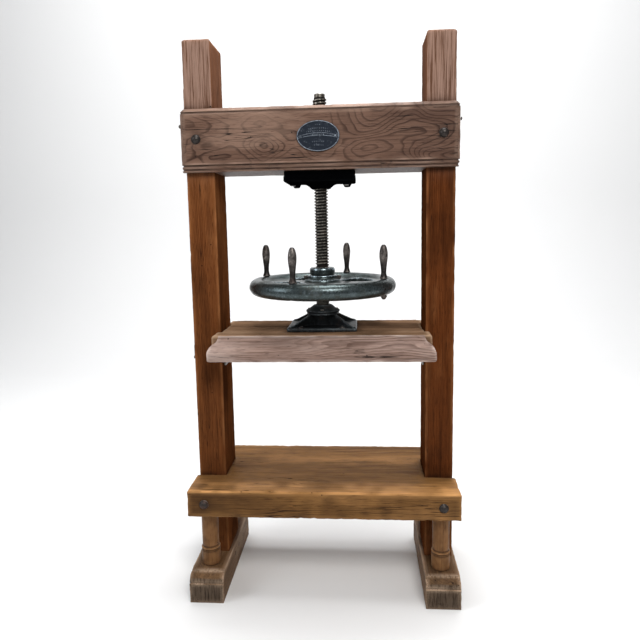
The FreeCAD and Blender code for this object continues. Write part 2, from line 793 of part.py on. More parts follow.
def guide_screws(gap):
    """Screws of the guide irons, up into the board."""
    screws = []
    for side in (-1, 1):
        for y in (-35.0, 35.0):
            x = side * (platen_inner - 22.0)
            screws.append(upright(3.5 + gap, platen_bottom - 5.0, platen_bottom + 25.0, x, y))
            if gap == 0.0:
                head = Part.makeCone(4.0, 7.0, 3.0, Vector(x, y, platen_bottom - 8.0))
                screws[-1] = screws[-1].fuse(head)
    return screws


def guide_iron_with_holes():
    iron = guide_iron()
    for screw in guide_screws(0.2):
        iron = iron.cut(screw)
    return iron


def foot_rib(angle_x, angle_y):
    """One diagonal rib of the pressure foot, from the drum down to a corner of its plate."""
    base = platen_top + foot_plate_thickness
    reach = math.hypot(angle_x, angle_y) - 12.0
    start = foot_drum_radius - 6.0
    outline = [(start, 0, base - 2), (reach, 0, base - 2), (reach, 0, base + 4), (reach - 14, 0, base + 7),
               (foot_flange_radius - 6, 0, casting_top - 3), (start, 0, casting_top - 3)]
    rib = prism(outline, (0, foot_rib_thickness, 0))
    rib.translate(Vector(0, -foot_rib_thickness / 2, 0))
    rib.rotate(Vector(0, 0, 0), Vector(0, 0, 1), math.degrees(math.atan2(angle_y, angle_x)))
    return rib


def foot_corners():
    half_x, half_y = foot_plate_length / 2, foot_plate_width / 2
    return [(x, y) for x in (-half_x, half_x) for y in (-half_y, half_y)]


def pressure_foot():
    """The iron foot on the platen: a plate, a drum with a socket, a flange and four ribs."""
    half_x, half_y = foot_plate_length / 2, foot_plate_width / 2
    base = platen_top + foot_plate_thickness
    plate = block(-half_x, half_x, -half_y, half_y, platen_top, base)
    plate = plate.makeFillet(8.0, long_edges(plate, (0, 0, 1), lambda middle: True))
    plate = plate.makeChamfer(3.0, [edge for edge in plate.Edges if edge.BoundBox.ZMin > base - 0.1])
    body = plate.fuse(upright(foot_drum_radius, platen_top + 2, casting_top))
    body = body.fuse(upright(foot_flange_radius, casting_top - foot_flange_thickness, casting_top))
    for x, y in foot_corners():
        body = body.fuse(foot_rib(x, y))
    body = body.cut(upright(socket_radius, socket_floor, casting_top + 1))
    for screw in foot_screws(0.3) + cap_screws(0.2):
        body = body.cut(screw)
    return body


def foot_screw_places():
    return [(x, y) for x in (-foot_plate_length / 2 + 50.0, foot_plate_length / 2 - 50.0)
            for y in (-foot_plate_width / 2 + 13.0, foot_plate_width / 2 - 13.0)]


def foot_screws(gap):
    """Round-headed wood screws that hold the pressure foot down."""
    screws = []
    base = platen_top + foot_plate_thickness
    for x, y in foot_screw_places():
        length = base - platen_top + 45.0
        if gap == 0.0:
            screws.append(placed(domed_pin(5.0, 9.5, 6.0, length), (1, 0, 0), 180, (x, y, base)))
        else:
            screws.append(upright(5.0 + gap, base - length - gap, base + 1, x, y))
    return screws


def retaining_cap():
    """The conical cap that holds the thrust collar in its socket and lets the screw turn."""
    bore = neck_radius + running_gap
    rim_height = casting_top + cap_rim_thickness
    top = rim_height + cap_cone_height
    outline = [
        (bore, thrust_collar_top + running_gap + 0.6),
        (socket_radius - joint_gap, thrust_collar_top + running_gap + 0.6),
        (socket_radius - joint_gap, casting_top),
        (cap_radius, casting_top),
        (cap_radius, rim_height),
        (bore + 8.0, top - 3.0),
        (bore + 5.0, top),
        (bore, top),
    ]
    body = turned(outline)
    for screw in cap_screws(0.2):
        body = body.cut(screw)
    return body


def cap_screws(gap):
    """Four screws through the cap into the flange of the pressure foot."""
    screws = []
    for turn in (0.0, 90.0, 180.0, 270.0):
        angle = math.radians(turn)
        x, y = 46.0 * math.cos(angle), 46.0 * math.sin(angle)
        z1 = casting_top + cap_rim_thickness + 5.5
        shank = upright(3.5 + gap, casting_top - foot_flange_thickness, z1, x, y)
        recess = upright(6.5 + gap, z1 - 4.0, z1 + 14.0, x, y)
        head = upright(6.5, z1 - 4.0, z1, x, y)
        screws.append(shank.fuse(recess) if gap > 0.0 else shank.fuse(head))
    return screws


def thrust_collar():
    """The ring pinned to the tail of the screw: it pushes the platen down and lifts it."""
    ring = upright(thrust_collar_radius, tail_bottom, thrust_collar_top)
    ring = ring.cut(upright(tail_radius + joint_gap, tail_bottom - 1, thrust_collar_top + 1))
    return ring.cut(thrust_pin(hole_gap))


def thrust_pin(gap):
    reach = thrust_collar_radius - 1.0 + gap
    height = (tail_bottom + thrust_collar_top) / 2
    return rod(3.5 + gap, (0, -reach, height), (0, 1, 0), 2 * reach)


# ---- build ---------------------------------------------------------------------------------


def build_frame():
    for name, side in (("left", -1), ("right", 1)):
        save(name + "_foot", foot(side))
        save(name + "_post", post(side))
        pegs = group(tenon_pegs(0.0))
        save(name + "_foot_pegs", pegs if side > 0 else mirror_x(pegs))
        for place, y in (("front", -column_setback), ("rear", column_setback)):
            save(place + "_" + name + "_column", turned_column(side * post_x, y))
    save("bed_board", bed())
    save("head_beam", head_beam())
    bolt_sets()
    save("nut_plate", nut_plate())
    save("coach_screws", group([coach_screw(x, y) for x, y in coach_screw_places()]))
    save("oval_plaque", plaque())
    save("plaque_nails", group(plaque_pins(0.0)))
    save("beam_end_nails", group([end_nail(0.0), mirror_x(end_nail(0.0))]))
    save("post_side_plate", side_plate())
    save("side_plate_screws", group(side_plate_screws(0.0)))


def build_screw():
    save("main_screw", main_screw())
    save("handwheel", handwheel())
    save("wheel_key", wheel_key(0.0))
    save("hub_bolts", group(hub_bolts()))
    save("lock_collar", lock_collar())
    save("lock_pin", lock_pin(0.0))
    for name, angle in handle_angles.items():
        save(name, handle(angle, name == "handle_right"))
    save("handle_nut", handle_nut(handle_angles["handle_right"]))
    save("thrust_collar", thrust_collar())
    save("thrust_pin", thrust_pin(0.0))


def build_platen():
    save("platen_board", platen_board())
    save("front_moulding", front_moulding())
    save("rear_moulding", mirror_y(front_moulding()))
    save("right_guide_iron", guide_iron_with_holes())
    save("left_guide_iron", mirror_x(guide_iron_with_holes()))
    save("guide_screws", group(guide_screws(0.0)))
    save("pressure_foot", pressure_foot())
    save("foot_screws", group(foot_screws(0.0)))
    save("thrust_washer", upright(thrust_collar_radius, socket_floor, washer_top))
    save("retaining_cap", retaining_cap())
    save("cap_screws", group(cap_screws(0.0)))


os.makedirs("parts", exist_ok=True)
build_frame()
build_screw()
build_platen()
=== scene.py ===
# %% [markdown]
# # A standing screw press in oak, elm and iron
# The measured model gives every size and place. This lesson dresses it: timber with grain, wear and
# cracks, castings with soft corners, turned grips and a moulded platen. All lengths are in metres.

# %% Load the measured frame
import math
from functools import partial

import bmesh
import bpy
import numpy as np
from mathutils import Matrix, Vector, noise


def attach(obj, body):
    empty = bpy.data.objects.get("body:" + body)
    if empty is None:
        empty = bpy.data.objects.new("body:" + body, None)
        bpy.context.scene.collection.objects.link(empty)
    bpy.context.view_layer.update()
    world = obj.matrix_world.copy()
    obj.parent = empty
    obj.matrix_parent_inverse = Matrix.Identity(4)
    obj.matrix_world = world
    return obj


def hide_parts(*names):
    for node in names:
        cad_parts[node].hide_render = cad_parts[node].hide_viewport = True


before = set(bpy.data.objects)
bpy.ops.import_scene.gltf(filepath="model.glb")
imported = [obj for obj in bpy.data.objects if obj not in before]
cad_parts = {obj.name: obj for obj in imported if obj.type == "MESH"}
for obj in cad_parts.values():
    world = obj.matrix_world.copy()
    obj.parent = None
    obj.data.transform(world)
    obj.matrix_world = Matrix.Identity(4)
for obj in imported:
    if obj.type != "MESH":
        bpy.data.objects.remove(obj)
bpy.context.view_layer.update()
MM = 0.001


def span(node):
    """The low and the high corner of a CAD node, to a tenth of a millimetre."""
    points = np.array([vert.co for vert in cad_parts[node].data.vertices])
    return [[round(float(size), 4) for size in corner] for corner in (points.min(0), points.max(0))]


# %% [markdown]
# ## The camera
# A person stands about two metres off, a little to the right of the middle, holding the camera level
# with the hand wheel. Camera first, because every later choice of detail is judged through it.

# %% Place the camera
EYE = (0.131, -1.995, 1.248)
TURN_LEFT, TILT_DOWN, ROLL = 4.04, 7.12, -1.01
SENSOR = 36.0
FOCAL = 32.64

camera_data = bpy.data.cameras.new("camera")
camera_data.sensor_width = SENSOR
camera_data.lens = FOCAL
camera_data.shift_y = -0.034
camera = bpy.data.objects.new("camera", camera_data)
bpy.context.scene.collection.objects.link(camera)
heading = Matrix.Rotation(math.radians(TURN_LEFT), 4, "Z")
tilt = Matrix.Rotation(math.radians(90 - TILT_DOWN), 4, "X")
roll = Matrix.Rotation(math.radians(ROLL), 4, "Z")
camera.matrix_world = Matrix.Translation(EYE) @ heading @ tilt @ roll
bpy.context.scene.camera = camera
print("camera looks along", [round(c, 3) for c in camera.matrix_world.to_3x3() @ Vector((0, 0, -1))])

# %% [markdown]
# ## A helper for shader nodes
# Wood and iron are both painted by chains of small maths steps. One short function that adds a node,
# fills its inputs and hands back its result keeps each finish readable as a recipe.

# %% One step of a shader


def step(tree, kind, inputs=None, output=0, **settings):
    """Adds one shader node. Inputs may be numbers, colours or the results of earlier steps."""
    made = tree.nodes.new("ShaderNode" + kind)
    for key, value in settings.items():
        setattr(made, key, value)
    for key, value in (inputs or {}).items():
        socket = made.inputs[key]
        if isinstance(value, bpy.types.NodeSocket):
            tree.links.new(value, socket)
        else:
            socket.default_value = value
    return made.outputs[output]


def maths(operation, *inputs):
    """One arithmetic step, added to the tree that its sockets belong to."""
    tree = next(value for value in inputs if isinstance(value, bpy.types.NodeSocket)).id_data
    return step(tree, "Math", dict(enumerate(inputs)), operation=operation)


times = partial(maths, "MULTIPLY")
plus = partial(maths, "ADD")
minus = partial(maths, "SUBTRACT")


def ramp(value, low, high):
    """Stretches a value so that low becomes 0 and high becomes 1, with soft ends."""
    return step(value.id_data, "MapRange", {"Value": value, "From Min": low, "From Max": high},
                interpolation_type="SMOOTHSTEP")


def axes_of(vector):
    """The x, y and z of a vector."""
    return step(vector.id_data, "SeparateXYZ", {0: vector}).node.outputs


def blend_colours(tree, amount, under, over):
    """Lays one colour over another."""
    return step(tree, "Mix", {0: amount, 6: under, 7: over}, output=2, data_type="RGBA")


def rgb(*levels):
    """A colour as a paint maker reads it, 0 to 255, turned into the light values a shader needs."""
    return tuple(((c / 255 + 0.055) / 1.055) ** 2.4 if c > 10 else c / 3294 for c in levels) + (1.0,)


def blank(name):
    """A fresh material, its node tree and its surface shader."""
    material = bpy.data.materials.new(name)
    material.use_nodes = True
    tree = material.node_tree
    return material, tree, tree.nodes["Principled BSDF"]


def connect(tree, value, shader, socket):
    tree.links.new(value, shader.inputs[socket])


print("shader helpers ready")

# %% [markdown]
# ## Old timber
# A log is a stack of cones, one a year, so a real board's figure comes from cutting straight through
# them. The shader does the same: it measures the distance from a wandering pith, bands it into rings,
# and adds fibres, pores, drying cracks and worm holes. End grain then comes out right by itself.
# A picture of wood would be flat and would not meet at the corners.

# %% Recipe for a timber finish
GRAIN_ALONG = {"x": 0, "y": 1, "z": 2}
LEAN = 0.035  # how far the pith leans off the board's length
DEEP_DARK = (0.008, 0.006, 0.005, 1.0)


def timber_finish(name, grain, pith, colours, ring=7 * MM, swirl=0.03, wander=0.9, seed=0.0, gloss=0.5,
                  cracks=0.5, worm=0.0, grime=0.6, lines=0.6, figure=0.5, grey_above=None, knots=(),
                  sheen=0.08, fibres=0.5, flat=1.0, burl=0.0, thin=0.35):
    """Wood with its grain along one axis. pith is where the heart of the tree lies across the grain.
    colours are early wood, late wood, dark streaks and rubbed edges. A knot is a (x, z, size, rings).
    flat spreads the rings out, burl makes them wind, and thin narrows the dark part of each. grime is only
    the strength of the dark clouds in the wood."""
    early, late, streak, rubbed = colours
    material, tree, shader = blank(name)
    place = step(tree, "TexCoord", output=3)
    long_axis = GRAIN_ALONG[grain]
    across = [axis for axis in range(3) if axis != long_axis]

    def stretched(along, sideways, shift=0.0):
        scale = [sideways] * 3
        scale[long_axis] = along
        return step(tree, "Mapping", {"Vector": place, "Location": (seed + shift, seed * 1.7, seed * 0.6),
                                      "Scale": scale})

    def patches(along, sideways, shift, detail=3.0, roughness=0.55):
        return step(tree, "TexNoise", {"Vector": stretched(along, sideways, shift), "Scale": 1.0,
                                       "Detail": detail, "Roughness": roughness})

    bend = step(tree, "TexNoise", {"Vector": stretched(wander, 4.5), "Scale": 1.0, "Detail": 3.0,
                                   "Roughness": 0.45}, output=1)
    bend = step(tree, "VectorMath", {0: bend, 1: (0.5, 0.5, 0.5)}, operation="SUBTRACT")
    bend = step(tree, "VectorMath", {0: bend, "Scale": swirl * 6}, operation="SCALE")
    bent = step(tree, "VectorMath", {0: place, 1: bend}, operation="ADD")
    spot = axes_of(bent)
    first = plus(minus(spot[across[0]], pith[0]), times(spot[long_axis], LEAN))
    second = minus(spot[across[1]], pith[1])
    radius = maths("SQRT", plus(times(first, first), times(second, second)))
    winding = times(patches(3.6, 5.0, 12.0, 1.5), burl)
    radius = maths("MULTIPLY_ADD", radius, flat, winding)
    for along, up, size, turns in knots:
        far_x = times(minus(spot[0], along), 0.62 / size)
        far_z = times(minus(spot[2], up), 1.0 / size)
        far = plus(times(far_x, far_x), times(far_z, far_z))
        swell = maths("EXPONENT", times(far, -1.0))
        radius = plus(radius, times(swell, turns * ring))
    radius = plus(radius, times(patches(0.5, 8.0, 3.0), ring * 5))
    count = maths("DIVIDE", radius, ring)
    phase = maths("FRACT", count)
    season = step(tree, "TexWhiteNoise", {"W": maths("FLOOR", count)}, noise_dimensions="1D")
    late_wood = times(ramp(phase, thin, 0.90), ramp(phase, 1.0, 0.93))
    strength = maths("MULTIPLY_ADD", ramp(patches(1.2, 7.0, 6.0, 2.0), 0.35, 0.65), 0.6, 0.4)
    late_wood = times(late_wood, strength)

    fibre = patches(7.0, 270.0, 0.0, 6.0, 0.62)
    streaks = patches(2.2, 60.0, 4.0, 3.0, 0.6)
    pores = times(ramp(patches(26.0, 640.0, 5.0, 2.0), 0.58, 0.70), 0.8)
    clouds = patches(1.6, 6.5, 9.0, 5.0, 0.58)
    slit = maths("ABSOLUTE", minus(patches(1.4, 42.0, 2.0, 2.0), 0.5))
    crack = ramp(slit, 0.0085, 0.002)
    where = ramp(patches(2.6, 9.0, 7.0, 1.0), 0.52, 0.60)
    crack = times(crack, times(where, cracks))

    between = blend_colours(tree, 0.5, early, late)
    colour = blend_colours(tree, times(season, figure), early, between)
    colour = blend_colours(tree, times(late_wood, lines), colour, late)
    colour = blend_colours(tree, times(ramp(fibre, 0.42, 0.68), fibres), colour, late)
    colour = blend_colours(tree, times(ramp(streaks, 0.52, 0.72), 0.40), colour, streak)
    colour = blend_colours(tree, times(ramp(clouds, 0.48, 0.66), grime), colour, streak)
    light_cloud = times(ramp(clouds, 0.47, 0.32), 0.30)
    colour = blend_colours(tree, light_cloud, colour, rubbed)
    colour = blend_colours(tree, pores, colour, streak)
    facing = axes_of(step(tree, "TexCoord", output=1))
    scale = [1.0, 1.0, 1.0]
    scale[across[0]], scale[across[1]] = 220.0, 22.0
    splits = step(tree, "TexNoise", {"Vector": step(tree, "Mapping", {"Vector": place, "Scale": scale}),
                                     "Scale": 1.0, "Detail": 3.0, "Roughness": 0.6})
    split_dark = ramp(splits, 0.42, 0.66)
    end_grain = times(ramp(maths("ABSOLUTE", facing[long_axis]), 0.80, 0.95), 0.85)
    grey_end = blend_colours(tree, 0.5, late, rgb(124, 112, 98))
    weathered = blend_colours(tree, split_dark, grey_end, rgb(50, 41, 33))
    colour = blend_colours(tree, end_grain, colour, weathered)
    worn = step(tree, "Attribute", output=2, attribute_name="worn")
    patchy = times(worn, ramp(fibre, 0.28, 0.56))
    colour = blend_colours(tree, times(patchy, 0.85), colour, rubbed)
    if grey_above is not None:
        low, high, pale, dark = grey_above
        front = ramp(maths("ABSOLUTE", facing[1]), 0.3, 0.8)
        aged = times(ramp(axes_of(place)[2], low, high), maths("MULTIPLY_ADD", front, 0.55, 0.3))
        shade = maths("MAXIMUM", times(late_wood, lines), ramp(fibre, 0.41, 0.66))
        colour = blend_colours(tree, aged, colour, blend_colours(tree, shade, pale, dark))
    # The grime value darkens the wood towards near black: real dirt and end grain in places, painted shade in
    # joints, grooves, creases and on the bed's faces.
    dirt_and_painted_shade = step(tree, "Attribute", output=2, attribute_name="grime")
    dirt_and_shade_colour = blend_colours(tree, 0.5, streak, (0.010, 0.008, 0.007, 1))
    colour = blend_colours(tree, times(dirt_and_painted_shade, 0.85), colour, dirt_and_shade_colour)
    colour = blend_colours(tree, crack, colour, DEEP_DARK)
    hole = None
    if worm > 0:
        cells = step(tree, "TexVoronoi", {"Vector": place, "Scale": 60.0}).node.outputs
        chosen = maths("GREATER_THAN", step(tree, "SeparateColor", {0: cells["Color"]}), 1.0 - worm)
        hole = times(ramp(cells["Distance"], 0.15, 0.09), chosen)
        colour = blend_colours(tree, hole, colour, DEEP_DARK)
    connect(tree, colour, shader, "Base Color")

    rough = maths("MULTIPLY_ADD", fibre, 0.30, gloss - 0.10)
    rough = plus(rough, times(crack, 0.3))
    rough = minus(rough, times(worn, 0.08))
    connect(tree, rough, shader, "Roughness")
    shader.inputs["Specular IOR Level"].default_value = sheen

    relief = maths("MULTIPLY_ADD", fibre, 0.60, times(late_wood, 0.35))
    relief = plus(relief, times(streaks, 0.35))
    relief = minus(relief, times(pores, 0.5))
    relief = minus(relief, times(crack, 2.2))
    end_splits = times(end_grain, split_dark)
    relief = minus(relief, times(end_splits, 1.5))
    if hole is not None:
        relief = minus(relief, times(hole, 2.5))
    bump = step(tree, "Bump", {"Height": relief, "Strength": 0.7, "Distance": 0.0012})
    connect(tree, bump, shader, "Normal")
    return material


print("timber recipe ready")

# %% [markdown]
# ## The timber colours
# The head beam is elm, with a wild swirling figure gone purplish brown. The posts are red oak brown,
# greying at their tops where no hand rubs them. The bed is honey coloured, the platen bleached grey,
# and the toes of the feet are grey from years of floor washing.

# %% Mix the timber finishes
FINISHES = {}
BEAM_KNOTS = ((-0.182, 1.503, 0.040, 3.6), (-0.384, 1.510, 0.045, 3.2), (0.155, 1.505, 0.040, -3.0),
              (0.352, 1.468, 0.044, 4.2), (-0.056, 1.607, 0.050, 2.4), (0.290, 1.590, 0.050, -2.0))
FINISHES["beam_elm"] = timber_finish(
    "elm_beam", "x", (0.02, 1.20), (rgb(110, 83, 69), rgb(44, 27, 20), rgb(54, 33, 25), rgb(172, 142, 124)),
    ring=13 * MM, swirl=0.016, wander=2.6, seed=4.2, gloss=0.42, cracks=1.0, worm=0.03, grime=0.45,
    lines=0.85, figure=0.50, knots=BEAM_KNOTS, sheen=0.12, fibres=0.28, flat=0.38, burl=0.30, thin=0.58)
POST_COLOURS = (rgb(118, 70, 38), rgb(66, 34, 16), rgb(40, 20, 11), rgb(158, 104, 64))
POST_GREY = (1.36, 1.66, rgb(156, 128, 114), rgb(88, 62, 49))
FINISHES["left_post"] = timber_finish(
    "oak_left_post", "z", (-0.90, 0.30), POST_COLOURS, ring=4 * MM, swirl=0.006, seed=11.0, gloss=0.42,
    cracks=0.7, worm=0.02, grime=0.7, lines=0.5, grey_above=POST_GREY, sheen=0.0)
# The right post is the same oak as the left, painted a darker brown as the shade on that side.
FINISHES["right_post"] = timber_finish(
    "oak_right_post_painted_shade", "z", (0.90, 0.34),
    (rgb(102, 56, 28), rgb(58, 28, 12), rgb(36, 18, 10), rgb(150, 98, 60)), ring=4 * MM, swirl=0.005,
    seed=17.5, gloss=0.42, cracks=0.6, worm=0.015, grime=0.6, lines=0.5, grey_above=POST_GREY, sheen=0.0)
FINISHES["bed_oak"] = timber_finish(
    "oak_bed", "x", (0.06, -0.30), (rgb(142, 102, 58), rgb(92, 60, 34), rgb(58, 38, 24), rgb(206, 152, 96)),
    ring=6 * MM, swirl=0.008, seed=23.0, gloss=0.44, cracks=0.9, worm=0.06, lines=0.6, sheen=0.04)
FINISHES["foot_oak"] = timber_finish(
    "oak_foot", "y", (0.30, -0.25), (rgb(122, 92, 64), rgb(78, 55, 37), rgb(44, 34, 27), rgb(196, 168, 142)),
    ring=5 * MM, swirl=0.010, seed=31.0, gloss=0.55, cracks=1.0, worm=0.05)
FINISHES["column_oak"] = timber_finish(
    "oak_column", "z", (0.30, 0.05), (rgb(126, 88, 54), rgb(80, 52, 32), rgb(46, 30, 20), rgb(172, 128, 86)),
    ring=4 * MM, swirl=0.006, seed=37.0, gloss=0.42, cracks=0.4, worm=0.02)
FINISHES["platen_oak"] = timber_finish(
    "oak_platen", "x", (0.10, 0.30),
    (rgb(156, 130, 118), rgb(88, 64, 54), rgb(62, 44, 36), rgb(222, 202, 192)), ring=7 * MM, swirl=0.016,
    wander=1.8, seed=43.0, gloss=0.38, cracks=1.0, worm=0.10, lines=0.75, sheen=0.14)
FINISHES["board_oak"] = timber_finish(
    "oak_board", "x", (0.10, 0.30), (rgb(140, 110, 86), rgb(92, 69, 51), rgb(58, 42, 31), rgb(186, 156, 128)),
    ring=6 * MM, swirl=0.010, seed=44.0, gloss=0.46, cracks=1.0, worm=0.04, lines=0.6, sheen=0.0)
FINISHES["peg_oak"] = timber_finish(
    "oak_peg", "x", (0.0, 0.065), (rgb(110, 74, 46), rgb(74, 46, 28), rgb(46, 30, 20), rgb(140, 104, 74)),
    ring=3 * MM, swirl=0.004, seed=51.0, gloss=0.55)
print(len(FINISHES), "timber finishes")

# %% [markdown]
# ## Old iron
# Castings and forgings darken, and only what hands and sleeves rub stays bright. The finish mixes a
# dark skin, a rust bloom, and bare metal where a piece sticks out. The "worn" value is measured on the
# shape itself, so the shine falls on real corners.

# %% Recipe for an iron finish


def iron_finish(name, skin, bright, rust, rust_amount=0.3, metal=0.85, rough=0.42, grain=140.0, depth=0.0006,
                crest=None, bare_above=9.0, sheen=0.15):
    """skin is the dark surface, bright the rubbed metal. crest is the radius beyond which a thread shines,
    and bare_above the height from which the plain end of the screw is clean metal."""
    material, tree, shader = blank(name)
    place = step(tree, "TexCoord", output=3)
    coarse = step(tree, "TexNoise", {"Vector": place, "Scale": 26.0, "Detail": 5.0, "Roughness": 0.6})
    fine = step(tree, "TexNoise", {"Vector": place, "Scale": grain, "Detail": 5.0, "Roughness": 0.65})
    pits = step(tree, "TexVoronoi", {"Vector": place, "Scale": grain * 2.4})
    pits = ramp(pits, 0.22, 0.06)
    worn = step(tree, "Attribute", output=2, attribute_name="worn")
    # The grime value blackens the iron: real black in the hollows of castings, and painted contact shade at
    # the grips, the collar, the cap and the plaque's edge.
    hollow = step(tree, "Attribute", output=2, attribute_name="grime")
    if crest is not None:
        spot = axes_of(place)
        across = maths("SQRT", plus(maths("POWER", spot[0], 2.0), maths("POWER", spot[1], 2.0)))
        worn = ramp(across, crest - 0.0014, crest)
        hollow = ramp(across, crest - 0.0018, crest - 0.0042)
        bare = maths("GREATER_THAN", spot[2], bare_above)
        hollow = minus(hollow, bare)
        worn = maths("MAXIMUM", worn, times(bare, 0.6))
    tint = times(ramp(coarse, 0.50, 0.66), rust_amount)
    colour = blend_colours(tree, tint, skin, rust)
    spots = times(ramp(fine, 0.55, 0.75), 0.25)
    colour = blend_colours(tree, spots, colour, bright)
    shine = times(worn, ramp(fine, 0.25, 0.60))
    colour = blend_colours(tree, shine, colour, bright)
    colour = blend_colours(tree, times(hollow, 0.75), colour, (0.006, 0.005, 0.005, 1))
    connect(tree, colour, shader, "Base Color")
    metallic = minus(metal, times(tint, 0.7))
    metallic = minus(metallic, times(hollow, 0.5))
    connect(tree, metallic, shader, "Metallic")
    roughness = maths("MULTIPLY_ADD", fine, 0.28, rough - 0.14)
    roughness = plus(roughness, times(tint, 0.35))
    roughness = minus(roughness, times(worn, 0.10))
    roughness = plus(roughness, times(hollow, 0.25))
    connect(tree, roughness, shader, "Roughness")
    relief = maths("MULTIPLY_ADD", coarse, 0.6, times(fine, 0.5))
    relief = minus(relief, times(pits, 0.35))
    bump = step(tree, "Bump", {"Height": relief, "Strength": 0.6, "Distance": depth})
    connect(tree, bump, shader, "Normal")
    shader.inputs["Specular IOR Level"].default_value = sheen
    return material


RUST = rgb(84, 48, 30)
FINISHES["wheel_iron"] = iron_finish("iron_wheel", rgb(62, 70, 70), rgb(190, 208, 218), rgb(52, 46, 36),
                                     rust_amount=0.45, rough=0.30)
FINISHES["black_iron"] = iron_finish("iron_black", rgb(34, 37, 38), rgb(120, 128, 132), RUST,
                                     rust_amount=0.12, metal=0.55, rough=0.46)
# Painted shade: the nut plate under the beam is made near black and without sheen, darker than plain black
# iron.
FINISHES["black_iron_in_shade"] = iron_finish("iron_black_in_shade", rgb(3, 3, 4), rgb(24, 26, 28), rgb(7, 6, 5),
                                    rust_amount=0.1, metal=0.0, rough=0.60, sheen=0.0)
FINISHES["handle_iron"] = iron_finish("iron_handle", rgb(50, 47, 46), rgb(158, 150, 144), rgb(60, 42, 34),
                                      rust_amount=0.25, metal=0.75, rough=0.38)
FINISHES["bolt_iron"] = iron_finish("iron_bolt", rgb(58, 54, 52), rgb(150, 144, 138), RUST,
                                    rust_amount=0.4, metal=0.7, rough=0.40)
FINISHES["plaque_iron"] = iron_finish("iron_plaque", rgb(34, 41, 52), rgb(160, 170, 182), rgb(30, 30, 32),
                                      rust_amount=0.2, metal=0.5, rough=0.44)
FINISHES["screw_steel"] = iron_finish("steel_screw", rgb(48, 45, 41), rgb(146, 141, 132), RUST,
                                      rust_amount=0.35, metal=0.85, rough=0.36, crest=0.0235,
                                      bare_above=1.6695)
FINISHES["shaft_steel"] = iron_finish("steel_shaft", rgb(74, 70, 66), rgb(170, 168, 162), RUST,
                                      rust_amount=0.4)
FINISHES["washer_bronze"] = iron_finish("bronze_washer", rgb(132, 96, 52), rgb(206, 164, 98), rgb(70, 66, 40),
                                        rust_amount=0.3, rough=0.34)
print(len(FINISHES), "finishes in all")

# %% [markdown]
# ## How a timber is cut to shape
# A joiner saws a plan outline, then works the edges: bevels, beads and rounds. The same two ideas make
# every timber here. An outline is drawn once, then stacked in levels, and at each level the outer
# edges are planed in by a set amount while the joint faces stay where they are.

# %% Outlines and levels


def planed(outline, insets):
    """Moves each edge of a closed outline inwards by its own amount. Edge i runs from point i to i+1."""
    count = len(outline)
    lines = []
    for i in range(count):
        ax, ay = outline[i]
        bx, by = outline[(i + 1) % count]
        length = math.hypot(bx - ax, by - ay)
        nx, ny = -(by - ay) / length, (bx - ax) / length
        lines.append((nx, ny, nx * ax + ny * ay + insets[i]))
    corners = []
    for i in range(count):
        a1, b1, c1 = lines[i - 1]
        a2, b2, c2 = lines[i]
        det = a1 * b2 - a2 * b1
        corners.append(((c1 * b2 - c2 * b1) / det, (a1 * c2 - a2 * c1) / det))
    return corners


def eased(corners, radii, steps=3):
    """Rounds each corner of an outline with a short arc, always with the same number of points."""
    points = []
    count = len(corners)
    for i, radius in enumerate(radii):
        here = Vector(corners[i])
        before = (Vector(corners[i - 1]) - here)
        after = (Vector(corners[(i + 1) % count]) - here)
        reach = min(radius, before.length * 0.45, after.length * 0.45)
        start = here + before.normalized() * reach
        end = here + after.normalized() * reach
        for k in range(steps + 1):
            t = k / steps
            points.append(tuple((1 - t) ** 2 * start + 2 * t * (1 - t) * here + t * t * end))
    return points


def stacked(loops, place):
    """Skins a stack of equal loops and closes both ends. place turns (a, b, level) into a point."""
    mesh = bmesh.new()
    rings = [[mesh.verts.new(place(a, b, level)) for a, b in loop] for level, loop in loops]
    count = len(rings[0])
    for low, high in zip(rings, rings[1:]):
        for i in range(count):
            j = (i + 1) % count
            mesh.faces.new((low[i], low[j], high[j], high[i]))
    mesh.faces.new(list(reversed(rings[0])))
    mesh.faces.new(rings[-1])
    bmesh.ops.recalc_face_normals(mesh, faces=mesh.faces)
    return mesh


PLACE = {
    "z": lambda a, b, level: (a, b, level),
    "x": lambda a, b, level: (level, a, b),
}
print("outline helpers ready")

# %% [markdown]
# ## Wear on the arrises
# Sharp outer edges of old furniture are never quite sharp or straight. Each timber is cut into small
# facets, the distance from every point to the nearest arris is found, and the arris is then dented
# and rubbed by a seeded noise. The same distance tells the finish where the wood is rubbed pale.

# %% Facets, dents and the worn value


def arrises_of(mesh, angle=38):
    """The sharp edges of a mesh, as segments."""
    limit = math.radians(angle)
    segments = []
    for edge in mesh.edges:
        if len(edge.link_faces) == 2 and edge.calc_face_angle() > limit:
            segments.append([tuple(edge.verts[0].co), tuple(edge.verts[1].co)])
    return np.array(segments)


def distance_to(points, segments):
    """Distance from each point to the nearest of the segments."""
    nearest = np.full(len(points), 1.0)
    for start, end in segments:
        along = end - start
        share = np.clip(((points - start) @ along) / max(along @ along, 1e-12), 0, 1)
        nearest = np.minimum(nearest, np.linalg.norm(points - start - share[:, None] * along, axis=1))
    return nearest


def faceted(mesh, spacing):
    """Slices a mesh with planes along x, y and z, so that no facet is longer than the spacing."""
    corners = np.array([v.co for v in mesh.verts])
    low, high = corners.min(0), corners.max(0)
    for axis in range(3):
        count = int((high[axis] - low[axis]) / spacing[axis])
        normal = [0, 0, 0]
        normal[axis] = 1
        for k in range(1, count):
            point = [0, 0, 0]
            point[axis] = low[axis] + (high[axis] - low[axis]) * k / count
            bmesh.ops.bisect_plane(mesh, geom=mesh.verts[:] + mesh.edges[:] + mesh.faces[:],
                                   plane_co=point, plane_no=normal, dist=1e-6)


